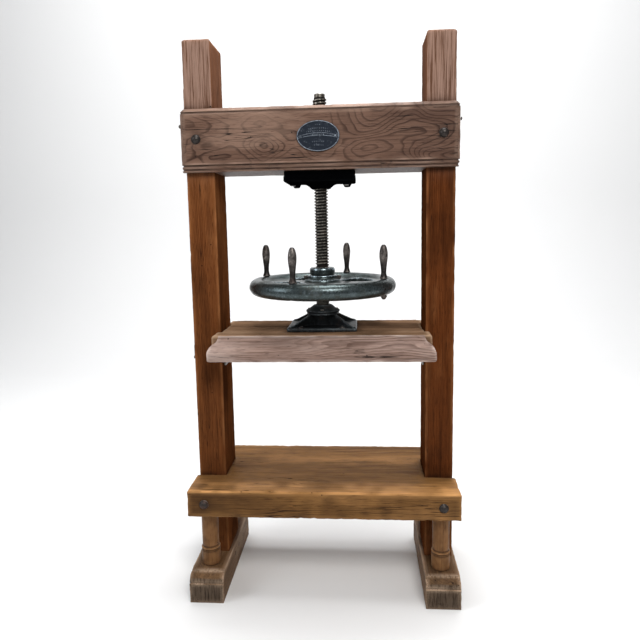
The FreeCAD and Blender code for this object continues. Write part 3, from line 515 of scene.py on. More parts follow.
def rubbed(mesh, segments, dent, seed, spread=0.006, swell=0.00025, grime=None, polish=None, allowed=None):
    """Dents the arrises, roughens the faces a little and stores the worn and grime values. The grime value
    holds dirt, and painted contact shade where a piece's function puts it.
    """
    mesh.normal_update()
    points = np.array([v.co for v in mesh.verts])
    gap = distance_to(points, segments)
    near = np.exp(-((gap / spread) ** 2))
    worn = mesh.verts.layers.float.new("worn")
    grime_and_shade_layer = mesh.verts.layers.float.new("grime")
    shift = Vector((seed, seed * 0.37, -seed))
    for i, vert in enumerate(mesh.verts):
        coarse = noise.noise(vert.co * 22 + shift)
        fine = noise.noise(vert.co * 75 + shift)
        chip = max(0.0, noise.noise(vert.co * 34 - shift) - 0.28)
        touched = float(near[i]) if polish is None else max(float(near[i]), polish(vert.co))
        vert[worn] = touched * min(1.0, max(0.0, 0.65 + coarse * 0.9))
        vert[grime_and_shade_layer] = 0.0 if grime is None else min(1.0, max(0.0, grime(vert.co) * (0.75 + 0.7 * coarse)))
        depth = near[i] * dent * (0.45 + 0.5 * fine + 3.2 * chip) + swell * (0.6 + coarse + 0.5 * fine)
        if allowed is None or allowed(vert.co):
            vert.co -= vert.normal * max(depth, 0.0)
    mesh.normal_update()


def piece(name, mesh, body, nodes, finish, flat_angle=30):
    """Turns a finished bmesh into a piece that rides on a body and stands for its CAD nodes."""
    data = bpy.data.meshes.new(name)
    mesh.to_mesh(data)
    mesh.free()
    data.shade_smooth()
    data.set_sharp_from_angle(angle=math.radians(flat_angle))
    data.materials.append(FINISHES[finish])
    made = bpy.data.objects.new(name, data)
    bpy.context.scene.collection.objects.link(made)
    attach(made, body)
    if nodes:
        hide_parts(*nodes)
    print(name, "has", len(data.polygons), "faces")
    return made


def bell(value, centre, width):
    """1 at the centre, fading to nothing over a few widths."""
    return math.exp(-(((value - centre) / width) ** 2))


def timber(name, mesh, body, node, slot, finish, spacing, dent, seed, angle=12, **wear):
    """Slices a plain timber into facets, wears it and makes it a piece."""
    segments = arrises_of(mesh, angle)
    faceted(mesh, spacing)
    rubbed(mesh, segments, dent, seed, **wear)
    piece(name, mesh, body, [node], finish)


def edge_levels(low, high, ease, steps=3):
    """Levels (height, inset) for a face whose two ends are eased by a quarter round."""
    turns = [math.pi / 2 * k / steps for k in range(steps + 1)]
    bottom = [(low + ease * (1 - math.cos(t)), ease * (1 - math.sin(t))) for t in turns]
    top = [(high - ease * (1 - math.cos(t)), ease * (1 - math.sin(t))) for t in reversed(turns)]
    return bottom + top


print("wear helpers ready")

# %% [markdown]
# ## The posts
# Two oak posts stand nearly two metres high. Their tops are bevelled, and the outer front corner carries
# a stopped chamfer, the old joiner's way to keep a tall timber from splintering where sleeves brush it.
# The chamfer starts as a hair line and swells over a thumb's width, so it is drawn as an extra corner.

# %% Make the two posts
(POST_IN, _, _), (POST_OUT, POST_HALF, POST_TOP) = span("right_post")
(FOOT_LOW, _, _), (FOOT_HIGH, TOE_END, FOOT_TOP) = span("right_foot")
(_, _, BED_LOW), (HALF_LENGTH, BED_HALF, BED_TOP) = span("bed_board")
(_, _, BEAM_LOW), (_, BEAM_HALF, BEAM_TOP) = span("head_beam")
BOLT_X, BOLT_Z = 0.397, 1.532
_, (PLATEN_END, PLATEN_HALF, PLATEN_TOP) = span("platen_board")


def all_round(count, amount):
    return [amount] * count


def mirrored(mesh):
    """The left hand copy of a right hand piece."""
    for vert in mesh.verts:
        vert.co.x = -vert.co.x
    bmesh.ops.reverse_faces(mesh, faces=mesh.faces)
    return mesh


def post_mesh():
    loops = []
    levels = [(FOOT_TOP, 1.2, 0), (1.684, 1.2, 0), (1.692, 2.4, 0), (1.702, 7, 0), (1.8435, 7, 0),
              (1.846, 7, 1.2), (1.849, 7, 4.2), (POST_TOP, 7, 6.0)]
    for z, cut, inset in levels:
        corner = cut * MM
        outline = [(POST_IN, -POST_HALF), (POST_OUT - corner, -POST_HALF), (POST_OUT, -POST_HALF + corner),
                   (POST_OUT, POST_HALF), (POST_IN, POST_HALF)]
        outline = planed(outline, all_round(5, inset * MM))
        loops.append((z, eased(outline, [2.2 * MM, 0.6 * MM, 0.6 * MM, 2.2 * MM, 2.2 * MM])))
    return stacked(loops, PLACE["z"])


def post_grime(place):
    """Painted contact shade: dark bands where a post meets its foot, the bed and the beam. The post is also
    darker towards the bottom.
    """
    lines = (FOOT_TOP, BED_TOP, BED_LOW, BEAM_LOW, BEAM_TOP)
    darker_low = 0.30 * max(0.0, min(1.0, (0.85 - place.z) / 0.25))
    return max(darker_low, 0.75 * max(bell(place.z, z, 0.012) for z in lines))


for side, seed in (("right", 2.0), ("left", 7.0)):
    mesh = post_mesh()
    if side == "left":
        mirrored(mesh)
    timber(side + "_post_timber", mesh, "frame", side + "_post", "post_oak", side + "_post",
           (0.010, 0.010, 0.012), 1.1 * MM, seed, grime=post_grime)

# %% [markdown]
# ## The sledge feet
# Each foot is one thick plank on edge. Its toes end in a quarter round above an upright face of end
# grain, which has split and gone grey from standing on wet stone. The moulding runs straight across the
# toe, so one profile pushed sideways makes it exactly.

# %% Make the two feet


def toe_profile(steps=9):
    """One toe, from the floor up to the top of the foot, as (distance along the foot, height)."""
    points = [(TOE_END, 0.0), (TOE_END, 0.066), (0.219, 0.0675)]
    for k in range(steps + 1):
        angle = math.pi / 2 * k / steps
        points.append((0.192 + 0.027 * math.cos(angle), 0.069 + 0.027 * math.sin(angle)))
    return points + [(0.192, FOOT_TOP)]


def foot_mesh():
    toe = toe_profile()
    outline = toe + [(-y, z) for y, z in reversed(toe)]
    count = len(outline)
    radii = [1.2 * MM] * count
    levels = edge_levels(FOOT_LOW, FOOT_HIGH, 2.5 * MM)
    loops = [(x, eased(planed(outline, all_round(count, inset)), radii, 2)) for x, inset in levels]
    return stacked(loops, PLACE["x"])


def foot_grime(place):
    """Black soaked into the upright end grain of the toes, a painted contact shade along the floor, and a
    painted shade line in the crease at the foot of the quarter round.
    """
    end_grain = 0.55 if abs(place.y) > 0.2215 and place.z < 0.064 else 0.0
    return max(end_grain, 0.8 * math.exp(-place.z / 0.010), 0.7 * bell(place.z, 0.0695, 0.002))


for side, seed in (("right", 13.0), ("left", 19.0)):
    mesh = foot_mesh()
    if side == "left":
        mirrored(mesh)
    timber(side + "_foot_timber", mesh, "frame", side + "_foot", "foot_oak", "foot_oak",
           (0.008, 0.009, 0.009), 1.8 * MM, seed, angle=22, spread=0.007, swell=0.0005, grime=foot_grime,
           allowed=lambda place: place.z > 0.0005)

# %% [markdown]
# ## The bed and the head beam
# Both are single planks, slotted at their ends to fit round the posts. The bed's edges are rounded by
# use. The beam has a broad bevel at the top and the ends, and along its lower edge a bead between two
# grooves, cut with a moulding plane. Planing only the outer edges leaves the joint faces tight.

# %% Make the bed and the beam
OUTER = (1, 1, 0, 0, 0, 1, 1, 1, 0, 0, 0, 1)


def slotted_outline(end, half, inner, slot):
    """A plank seen from above, with an open slot at each end."""
    right = [(end, -half), (end, -slot), (inner, -slot), (inner, slot), (end, slot), (end, half)]
    left = [(-x, -y) for x, y in right]
    return [left[-1]] + right + left[:-1]


def bed_mesh():
    outline = slotted_outline(HALF_LENGTH, BED_HALF, POST_IN, POST_HALF)
    loops = []
    for z, inset in edge_levels(BED_LOW, BED_TOP, 6 * MM, 4):
        corners = planed(outline, [inset * share for share in OUTER])
        loops.append((z, eased(corners, [(5 if abs(y) > 0.15 else 1.5) * MM for x, y in corners])))
    return stacked(loops, PLACE["z"])


def bed_grime(place):
    # Painted shade: a dark band round each post, a light darkening over the board, and the front and back
    # faces darker still towards their lower edge, as light falls from above. The top stays lightest at its
    # front.
    round_post = max(abs(place.x) - POST_OUT, POST_IN - abs(place.x), abs(place.y) - POST_HALF, 0.0)
    shade_level = 0.25
    if abs(place.y) > 0.205:
        shade_level = 0.55 + 0.4 * math.exp(-(place.z - 0.294) / 0.014)
    if place.z > 0.380:
        shade_level = 0.15 if place.y > -0.12 else 0.0
    return 0.8 * bell(round_post, 0.0, 0.010) + shade_level


def bed_polish(place):
    """Books dragged over the front edge have rubbed it pale, and the board behind it a little."""
    if place.z < 0.377:
        return 0.0
    return max(1.3 * bell(place.y, -0.200, 0.012), 0.95 * bell(place.y, -0.165, 0.040))


timber("bed_timber", bed_mesh(), "frame", "bed_board", "bed_oak", "bed_oak", (0.011, 0.011, 0.009), 2.2 * MM,
       23.0, spread=0.008, swell=0.0006, grime=bed_grime, polish=bed_polish)


def beam_outline(bevel):
    """The beam from above. Its four upright corners are bevelled too."""
    right = [(HALF_LENGTH - bevel, -BEAM_HALF), (HALF_LENGTH, -BEAM_HALF + bevel), (HALF_LENGTH, -POST_HALF),
             (POST_IN, -POST_HALF), (POST_IN, POST_HALF), (HALF_LENGTH, POST_HALF),
             (HALF_LENGTH, BEAM_HALF - bevel), (HALF_LENGTH - bevel, BEAM_HALF)]
    left = [(-x, -y) for x, y in right]
    return right + left


BEAM_OUTER = (1, 1, 0, 0, 0, 1, 1, 1) * 2
BEAM_LEVELS = (
    (1427.0, 4.5), (1427.8, 2.6), (1430.5, 1.6), (1433.2, 2.4), (1434.0, 4.4), (1436.6, 4.4), (1437.4, 2.6),
    (1439.5, 1.2), (1442.0, 0.8), (1444.5, 1.2), (1446.6, 2.8), (1447.2, 4.4), (1449.6, 4.4), (1450.6, 1.2),
    (1452.2, 0.2), (1455.0, 0.0), (1614.2, 0.0), (1615.0, 2.2), (1618.4, 2.2), (1619.4, 0.6), (1621.5, 1.8),
    (1630.0, 9.6), (1631.0, 11.5))


def beam_mesh():
    loops = []
    for z, inset in BEAM_LEVELS:
        corners = planed(beam_outline(11 * MM), [inset * MM * share for share in BEAM_OUTER])
        loops.append((z * MM, eased(corners, [1.6 * MM] * len(corners), 2)))
    return stacked(loops, PLACE["z"])


def beam_grime(place):
    """Painted shade in the three grooves, along the edges of the end bevels and along the underside,
    strongest by the nut plate. The wood is also darker round the bolts and below the upper groove of the
    lower moulding.
    """
    groove_shade = max(bell(place.z, z, 0.0026) for z in (1.4353, 1.4484, 1.6167))
    bolt = math.hypot(abs(place.x) - BOLT_X, place.z - BOLT_Z)
    under = bell(place.z, BEAM_LOW, 0.002) * (0.6 if abs(place.x) < 0.16 else 0.2)
    bead = 0.45 if place.z < 1.4475 else 0.0
    mitre_shade = 0.8 * bell(abs(place.x), 0.4385, 0.0022)
    return max(1.5 * groove_shade, 0.7 * bell(bolt, 0.0, 0.026), under, bead, mitre_shade)


timber("beam_timber", beam_mesh(), "frame", "head_beam", "beam_elm", "beam_elm", (0.011, 0.011, 0.010),
       1.2 * MM, 29.0, angle=20, spread=0.005, swell=0.0004, grime=beam_grime)

# %% [markdown]
# ## The platen and its mouldings
# The platen slides on the posts with its four ears. A heavy moulded strip is nailed along its front
# and back: a flat, a hollow, then a fat round nose. Its ends are cut to the same profile, so a plan
# rectangle that grows as it goes down gives both the run and its mitred returns.

# %% Make the platen
EAR_IN, EAR_HALF = POST_IN - 3 * MM, POST_HALF + 3 * MM


def platen_mesh():
    outline = slotted_outline(PLATEN_END, PLATEN_HALF, EAR_IN, EAR_HALF)
    ends = (0, 1, 0, 0, 0, 1, 0, 1, 0, 0, 0, 1)
    loops = []
    for z, end_cut, edge_cut in ((814, 2, 1), (816, 0.4, 0), (887, 0, 0), (890, 0.7, 0), (893, 2.4, 0.3),
                                 (895, 5.4, 0.9), (896, 9, 2)):
        insets = [(end_cut * end + edge_cut * (1 - end)) * MM for end in ends]
        loops.append((z * MM, eased(planed(outline, insets), [2.5 * MM] * 12)))
    return stacked(loops, PLACE["z"])


def platen_grime(place):
    # Painted contact shade round the posts at the ears, and on the top round the iron pressure foot.
    near_post = max(0.342 - abs(place.x), abs(place.y) - 0.081, 0.0)
    near_iron = 1.0
    if place.z > PLATEN_TOP - 16 * MM:
        near_iron = max(abs(place.x) - 0.118, abs(place.y) - 0.093, 0.0)
    return 0.5 * bell(near_post, 0.0, 0.008) + 0.9 * bell(near_iron, 0.0, 0.014)


timber("platen_timber", platen_mesh(), "platen", "platen_board", "platen_oak", "board_oak",
       (0.010, 0.010, 0.010), 1.4 * MM, 31.0, grime=platen_grime)

NOSE = [(5, 896), (5, 891.5), (5.2, 891), (6.3, 887), (8.4, 882), (11.6, 877), (15, 874), (19.4, 871.2),
        (24.4, 867.3), (29, 863), (33, 857.5), (36, 850.5), (37.6, 845), (38, 839), (38, 831), (38, 823),
        (37.4, 820), (35.6, 817), (32.6, 815), (29, 814)]


def moulding_mesh(front):
    loops = []
    for out, z in NOSE:
        wide, near, far = 0.331 + out * MM, 0.152, 0.152 + out * MM
        outline = [(-wide, -far), (wide, -far), (wide, -near), (-wide, -near)]
        corners = eased(outline, [2 * MM, 2 * MM, 0.6 * MM, 0.6 * MM])
        if not front:
            corners = [(x, -y) for x, y in reversed(corners)]
        loops.append((z * MM, corners))
    return stacked(loops, PLACE["z"])


def moulding_grime(place):
    # Painted shade: a dark line where the flat meets the hollow, and a softer band down in the hollow.
    return 0.55 * bell(place.z, 0.8905, 0.002) + 0.3 * bell(place.z, 0.874, 0.006)


for name, front, seed in (("front", True, 37.0), ("rear", False, 41.0)):
    timber(name + "_moulding_timber", moulding_mesh(front), "platen", name + "_moulding", "platen_oak",
           "platen_oak", (0.009, 0.009, 0.006), 1.6 * MM, seed, angle=24, swell=0.0005, grime=moulding_grime)

# %% [markdown]
# ## Turned work
# The four columns came off a lathe: a base, a pair of scribed lines round a bead, then a long plain
# shaft. The hand grips, the lock collar and the cap of the pressure foot are turned iron. A profile
# swept round its axis is what a lathe does, so that is how they are drawn.

# %% Turning


def curve_through(profile, steps):
    """Runs a smooth line through a few turned sizes, as a gouge does. Repeated points stay sharp."""
    points = np.array(profile, float)
    result = [tuple(points[0])]
    for i in range(len(points) - 1):
        p0, p1 = points[max(i - 1, 0)], points[i]
        p2, p3 = points[i + 1], points[min(i + 2, len(points) - 1)]
        for k in range(1, steps + 1):
            t = k / steps
            spot = 0.5 * (2 * p1 + (p2 - p0) * t + (2 * p0 - 5 * p1 + 4 * p2 - p3) * t * t
                          + (3 * p1 - p0 - 3 * p2 + p3) * t ** 3)
            result.append(tuple(spot))
    return result


def lathe(profile, centre, around=40, worn=None, seed=0.0, rough=0.00012, grime=None):
    """Sweeps (radius, height) round an upright axis. worn and grime are functions of height; grime here is
    painted shade in creases and at contacts.
    """
    mesh = bmesh.new()
    cx, cy = centre
    rings = []
    for radius, height in profile:
        ring = []
        for k in range(around):
            angle = 2 * math.pi * k / around
            x, y = cx + radius * math.cos(angle), cy + radius * math.sin(angle)
            ring.append(mesh.verts.new((x, y, height)))
        rings.append(ring)
    for low, high in zip(rings, rings[1:]):
        for i in range(around):
            j = (i + 1) % around
            mesh.faces.new((low[i], low[j], high[j], high[i]))
    mesh.faces.new(list(reversed(rings[0])))
    mesh.faces.new(rings[-1])
    bmesh.ops.recalc_face_normals(mesh, faces=mesh.faces)
    mesh.normal_update()
    rubbed_value = mesh.verts.layers.float.new("worn")
    grime_and_shade_layer = mesh.verts.layers.float.new("grime")
    shift = Vector((seed, -seed, seed * 0.5))
    for vert in mesh.verts:
        patch = noise.noise(vert.co * 60 + shift)
        vert[rubbed_value] = 0.0 if worn is None else max(0.0, min(1.0, worn(vert.co.z) * (0.8 + patch)))
        vert[grime_and_shade_layer] = 0.0 if grime is None else max(0.0, min(1.0, grime(vert.co.z)))
        vert.co -= vert.normal * rough * (1 + patch + noise.noise(vert.co * 200 + shift))
    return mesh


COLUMN_X, COLUMN_Y, COLUMN_RING = 0.392, 0.141, 0.160
RING_STEPS = ((0.0315, -0.0105), (0.0300, -0.0095), (0.0300, -0.0085), (0.0313, -0.0075), (0.0308, -0.0045),
              (0.0288, -0.0035), (0.0290, -0.0025), (0.0312, -0.0015), (0.0320, 0.0), (0.0312, 0.0017),
              (0.0290, 0.003), (0.0283, 0.0045), (0.0282, 0.006), (0.0275, 0.0075), (0.0276, 0.0095),
              (0.0285, 0.012))


def column_profile():
    base = FOOT_TOP
    foot = [(0.0285, base), (0.0305, base + 0.001), (0.0320, base + 0.004)]
    drum = [(0.0315, base + 0.004 + 0.004 * k) for k in range(1, 11)]
    ring = [(radius, COLUMN_RING + up) for radius, up in RING_STEPS]
    shaft = [(0.0285, COLUMN_RING + 0.012 + 0.0098 * k) for k in range(1, 12)]
    return foot + drum + ring + shaft + [(0.0285, BED_LOW)]


def column_crease_shade(height):
    # Painted shade in the scribed lines round the bead, and painted contact shade where the column meets the
    # foot and the bed.
    lines = max(bell(height, z, 0.0014) for z in (0.151, 0.1565, 0.1655, 0.168))
    foot = 0.7 * math.exp(-(height - FOOT_TOP) / 0.006)
    return max(0.85 * lines, foot, 0.6 * math.exp(-(BED_LOW - height) / 0.006))


def column_shine(height):
    return 0.9 * bell(height, COLUMN_RING, 0.003) + 0.25


for number, (place, side, sx, sy) in enumerate((("front", "left", -1, -1), ("front", "right", 1, -1),
                                                ("rear", "left", -1, 1), ("rear", "right", 1, 1))):
    mesh = lathe(column_profile(), (sx * COLUMN_X, sy * COLUMN_Y), 40, column_shine, 3.0 * number, 0.0002,
                 column_crease_shade)
    piece(place + "_" + side + "_column_timber", mesh, "frame", [place + "_" + side + "_column"],
          "column_oak")

RIM_TOP = 1.0715
GRIP = curve_through([(0.0132, 0.0), (0.0136, 0.0015), (0.0130, 0.0035), (0.0108, 0.0085), (0.0092, 0.016),
                      (0.0090, 0.024), (0.0100, 0.038), (0.0120, 0.054), (0.0138, 0.070), (0.0139, 0.084),
                      (0.0118, 0.098), (0.0088, 0.1065), (0.0050, 0.1112), (0.0012, 0.1119)], 4)


def grip_shine(height):
    up = height - RIM_TOP
    return 0.75 * bell(up, 0.078, 0.026) + 0.5 * bell(up, 0.0015, 0.002)


def grip_contact_shade(height):
    # Painted contact shade where the grip stands on the rim.
    return 0.8 * bell(height, RIM_TOP, 0.002)


for number, (name, angle) in enumerate((("handle_right", -21), ("handle_rear", 69), ("handle_left", 159),
                                        ("handle_front", 249))):
    turn = math.radians(angle)
    centre = (0.222 * math.cos(turn), 0.222 * math.sin(turn))
    profile = [(radius, RIM_TOP + height) for radius, height in GRIP]
    profile = [(0.008, RIM_TOP - 0.008), (0.0095, RIM_TOP - 0.0006)] + profile
    mesh = lathe(profile, centre, 28, grip_shine, 5.0 * number + 1, 0.00015, grip_contact_shade)
    piece(name + "_grip", mesh, "screw", [name], "handle_iron")

COLLAR = [(0.0236, 1.0815), (0.0400, 1.0815), (0.0418, 1.0819), (0.0430, 1.0832), (0.0435, 1.0855),
          (0.0435, 1.0885), (0.0435, 1.0915), (0.0435, 1.0945), (0.0435, 1.0975), (0.0431, 1.1000),
          (0.0418, 1.1028), (0.0398, 1.1050), (0.0370, 1.1062), (0.0330, 1.1065), (0.0270, 1.1063),
          (0.0250, 1.1058), (0.0236, 1.1045)]
# The last value paints contact shade along the collar's base, where it sits on the wheel.
mesh = lathe(COLLAR, (0, 0), 64, lambda z: 0.8 * bell(z, 1.1015, 0.003), 2.0, 0.0002,
             lambda z: 0.8 * bell(z, 1.0815, 0.002))
piece("lock_collar_turned", mesh, "screw", ["lock_collar"], "wheel_iron")

CAP = [(0.0231, 0.9525), (0.0560, 0.9522), (0.0580, 0.9526), (0.0589, 0.9540), (0.0590, 0.9560),
       (0.0586, 0.9584), (0.0570, 0.9598), (0.0545, 0.9603), (0.0515, 0.9612), (0.0480, 0.9634),
       (0.0445, 0.9661), (0.0410, 0.9690), (0.0375, 0.9719), (0.0345, 0.9744), (0.0322, 0.9762),
       (0.0300, 0.9773), (0.0275, 0.9779), (0.0250, 0.9778), (0.0236, 0.9770), (0.0231, 0.9750)]
# The last value paints a shade line in the step between the cap's rim and its dome.
mesh = lathe(CAP, (0, 0), 72, lambda z: 0.7 * bell(z, 0.9775, 0.0025)
             + 0.6 * bell(z, 0.9585, 0.0015), 8.0, 0.0005,
             lambda z: 0.7 * bell(z, 0.9606, 0.0012))
piece("retaining_cap_turned", mesh, "platen", ["retaining_cap"], "black_iron")

# %% [markdown]
# ## Castings
# The wheel, the nut plate and the pressure foot were poured into sand moulds. Sand leaves soft corners,
# filled-in angles and a slightly uneven skin. Each shape is re-skinned with a fine even net, smoothed
# as a fettler's file would, then felt all over: what stands out is rubbed bright, what lies in a
# hollow keeps its black.

# %% Re-skin and feel a casting


def net_of(name, voxel, smooth, shells=(), node=None):
    """An even net over a CAD node or over closed shells, smoothed. Returns a bmesh."""
    source = bmesh.new()
    if node is not None:
        source.from_mesh(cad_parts[node].data)
    for shell in shells:
        part = bpy.data.meshes.new("shell")
        shell.to_mesh(part)
        shell.free()
        source.from_mesh(part)
        bpy.data.meshes.remove(part)
    data = bpy.data.meshes.new(name + "_net")
    source.to_mesh(data)
    source.free()
    holder = bpy.data.objects.new(name + "_net", data)
    bpy.context.scene.collection.objects.link(holder)
    remesh = holder.modifiers.new("net", "REMESH")
    remesh.mode = "VOXEL"
    remesh.voxel_size = voxel
    bpy.context.view_layer.update()
    netted = bpy.data.meshes.new_from_object(holder.evaluated_get(bpy.context.evaluated_depsgraph_get()))
    bpy.data.objects.remove(holder)
    bpy.data.meshes.remove(data)
    mesh = bmesh.new()
    mesh.from_mesh(netted)
    bpy.data.meshes.remove(netted)
    for _ in range(smooth):
        bmesh.ops.smooth_vert(mesh, verts=mesh.verts, factor=0.5, use_axis_x=True, use_axis_y=True,
                              use_axis_z=True)
    return mesh


def felt(mesh, seed, skin=0.0002, reach=6, gain=420.0, dirt=260.0):
    """Stores where a casting stands out (worn) and where it is hollow (grime), then roughens it."""
    mesh.verts.ensure_lookup_table()
    mesh.normal_update()
    points = np.array([v.co for v in mesh.verts])
    normals = np.array([v.normal for v in mesh.verts])
    pairs = np.array([[e.verts[0].index, e.verts[1].index] for e in mesh.edges])
    degree = np.bincount(pairs.ravel(), minlength=len(points))[:, None]

    def averaged(values):
        total = np.zeros_like(values)
        np.add.at(total, pairs[:, 0], values[pairs[:, 1]])
        np.add.at(total, pairs[:, 1], values[pairs[:, 0]])
        return total / np.maximum(degree, 1)

    soft = points
    for _ in range(reach):
        soft = averaged(soft)
    stands_out = ((points - soft) * normals).sum(1)
    worn = mesh.verts.layers.float.new("worn")
    grime_and_shade_layer = mesh.verts.layers.float.new("grime")
    shift = Vector((seed, seed * 2, -seed))
    for i, vert in enumerate(mesh.verts):
        patch = noise.noise(vert.co * 40 + shift)
        vert[worn] = float(np.clip((stands_out[i] - 0.0003) * gain * (1 + patch), 0, 1))
        vert[grime_and_shade_layer] = float(np.clip((-stands_out[i] - 0.0003) * dirt * (1 + patch), 0, 1))
        vert.co -= vert.normal * skin * (1 + patch + 0.7 * noise.noise(vert.co * 120 + shift))
    mesh.normal_update()
    print("   stands out up to", round(float(stands_out.max()) * 1000, 2), "mm")


mesh = net_of("handwheel", 0.0030, 3, node="handwheel")
felt(mesh, 3.0)
piece("handwheel_cast", mesh, "screw", ["handwheel"], "wheel_iron", 80)

mesh = net_of("pressure_foot", 0.0024, 2, node="pressure_foot")
felt(mesh, 9.0)
piece("pressure_foot_cast", mesh, "platen", ["pressure_foot"], "black_iron", 80)


def nut_plate_shells():
    """The flange as a soft-cornered slab, the bored bell-shaped boss, and a pad at each screw."""
    half_x, half_y = 0.118, 0.085
    outline = [(-half_x, -half_y), (half_x, -half_y), (half_x, half_y), (-half_x, half_y)]
    loops = []
    for z, inset in ((1391, 4), (1392.5, 1), (1395, 0), (1409, 0), (1411, 1.5), (1413, 2), (1427, 2)):
        loops.append((z * MM, eased(planed(outline, all_round(4, inset * MM)), [9 * MM] * 4, 6)))
    slab = stacked(loops, PLACE["z"])
    rings = [(0.0242, 1.388), (0.0242, 1.3712), (0.0255, 1.3698), (0.0290, 1.3698), (0.0318, 1.3712),
             (0.0345, 1.3738), (0.0380, 1.3772), (0.0420, 1.3805), (0.0465, 1.3834), (0.0520, 1.3858),
             (0.0580, 1.3874), (0.0640, 1.3888), (0.0690, 1.3904), (0.0710, 1.3960), (0.0200, 1.3960)]
    boss = lathe(rings, (0, 0), 64, rough=0.0)
    pad = [(0.0085, 1.3795), (0.0105, 1.3800), (0.0150, 1.3900), (0.0175, 1.3925)]
    pads = [lathe(pad, (x, y), 24, rough=0.0) for x in (-0.088, 0.088) for y in (-0.058, 0.058)]
    return [slab, boss] + pads


mesh = net_of("nut_plate", 0.0024, 2, shells=nut_plate_shells())
felt(mesh, 15.0)
# The nut plate takes the near black finish that paints the shade under the beam.
piece("nut_plate_cast", mesh, "frame", ["nut_plate"], "black_iron_in_shade", 80)

# %% [markdown]
# ## The oval plaque
# A small cast oval sits in the middle of the beam. Such plates carried a maker's lettering; here it is
# given a plain ornament instead: a raised rim, a bowed ribbon across the middle and rows of beads
# above and below it. The relief is a height worked out at each point of an oval net.

# %% Model the plaque
OVAL_LONG, OVAL_HIGH, OVAL_Z = 0.0685, 0.0480, 1.532
PLAQUE_BACK = -0.1000


RIBBON_EDGES = ((-0.06, 0.26), (-0.15, 0.18))
BEAD_ROWS = ((0.72, 0.16), (0.50, 0.44), (0.33, 0.58), (0.10, 0.34), (-0.36, 0.30), (-0.60, 0.26))


def plaque_height(share, angle):
    """Height of the relief above the back, in metres, for a share of the radius and an angle."""
    across, up = share * math.cos(angle), share * math.sin(angle)
    height = 0.0040 + 0.0022 * math.exp(-((share - 0.965) / 0.024) ** 4)
    if share < 0.93:
        for low, bow in RIBBON_EDGES:
            height += 0.0012 * bell(up, low + bow * (1 - across * across), 0.030)
    for middle, half in BEAD_ROWS:
        if abs(across) < half:
            bead = max(0.0, math.cos(across * 72)) ** 0.5
            height += 0.0013 * bead * bell(up, middle - 0.25 * across * across, 0.045)
    return height


def plaque_mesh(rings=64, around=240):
    mesh = bmesh.new()
    worn = mesh.verts.layers.float.new("worn")
    grime_and_shade_layer = mesh.verts.layers.float.new("grime")
    centre = mesh.verts.new((0, PLAQUE_BACK - plaque_height(0, 0), OVAL_Z))
    rows = []
    for r in range(1, rings + 3):
        share = min(r / rings, 1.0)
        row = []
        for k in range(around):
            angle = 2 * math.pi * k / around
            height = plaque_height(share, angle)
            if r == rings + 1:
                height *= 0.5
            if r == rings + 2:
                height = -0.0006
            vert = mesh.verts.new((OVAL_LONG * share * math.cos(angle), PLAQUE_BACK - height,
                                   OVAL_Z + OVAL_HIGH * share * math.sin(angle)))
            vert[worn] = min(0.75, max(0.0, (height - 0.0044) / 0.0016))
            # The face is a little darker all over; the two edge rows, where the plaque meets the beam, are
            # painted with contact shade.
            vert[grime_and_shade_layer] = 0.25 if r <= rings else 0.8
            row.append(vert)
        rows.append(row)
    for k in range(around):
        mesh.faces.new((centre, rows[0][k], rows[0][(k + 1) % around]))
    for low, high in zip(rows, rows[1:]):
        for k in range(around):
            j = (k + 1) % around
            mesh.faces.new((low[k], high[k], high[j], low[j]))
    mesh.faces.new(rows[-1])
    bmesh.ops.recalc_face_normals(mesh, faces=mesh.faces)
    return mesh


piece("oval_plaque_cast", plaque_mesh(), "frame", ["oval_plaque"], "plaque_iron", 60)

# %% [markdown]
# ## Bolts, nuts, plates and pins
# The small iron parts are right in the measured model; only their edges are too sharp. Each is copied,
# its corners are filed with a narrow bevel, and it takes the dark bolt finish. Parts that no one can
# see, inside the hub and the socket, keep the measured shape and get a proper finish.

# %% File the small iron parts


def filed(node, width=0.0008, angle=28, seed=0.0):
    """A copy of a CAD node with its corners filed."""
    mesh = bmesh.new()
    mesh.from_mesh(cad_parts[node].data)
    bmesh.ops.remove_doubles(mesh, verts=mesh.verts, dist=0.00002)
    bmesh.ops.dissolve_limit(mesh, angle_limit=math.radians(1.0), verts=mesh.verts, edges=mesh.edges)
    segments = arrises_of(mesh, angle)
    limit = math.radians(angle)
    sharp = [e for e in mesh.edges if len(e.link_faces) == 2 and e.calc_face_angle() > limit]
    bmesh.ops.bevel(mesh, geom=sharp, offset=width, segments=2, profile=0.6, affect="EDGES",
                    clamp_overlap=True)
    bmesh.ops.triangulate(mesh, faces=[f for f in mesh.faces if len(f.verts) > 4])
    rubbed(mesh, segments, 0.0001, seed, spread=0.002, swell=0.00005)
    return mesh


SMALL_IRON = {
    "frame": "head_bolts head_washers head_nuts bed_bolts bed_washers bed_nuts coach_screws plaque_nails "
             "beam_end_nails post_side_plate side_plate_screws",
    "screw": "hub_bolts lock_pin handle_nut",
    "platen": "foot_screws cap_screws guide_screws right_guide_iron left_guide_iron",
}
OWN_FINISH = {"plaque_nails": "plaque_iron", "handle_nut": "handle_iron"}
SMALLEST = ("plaque_nails", "cap_screws", "side_plate_screws")
seed = 0.0
for body, nodes in SMALL_IRON.items():
    for node in nodes.split():
        finish = OWN_FINISH.get(node, "bolt_iron")
        mesh = filed(node, 0.4 * MM if node in SMALLEST else 0.9 * MM, seed=seed)
        piece(node + "_filed", mesh, body, [node], finish, 40)
        seed += 1.0

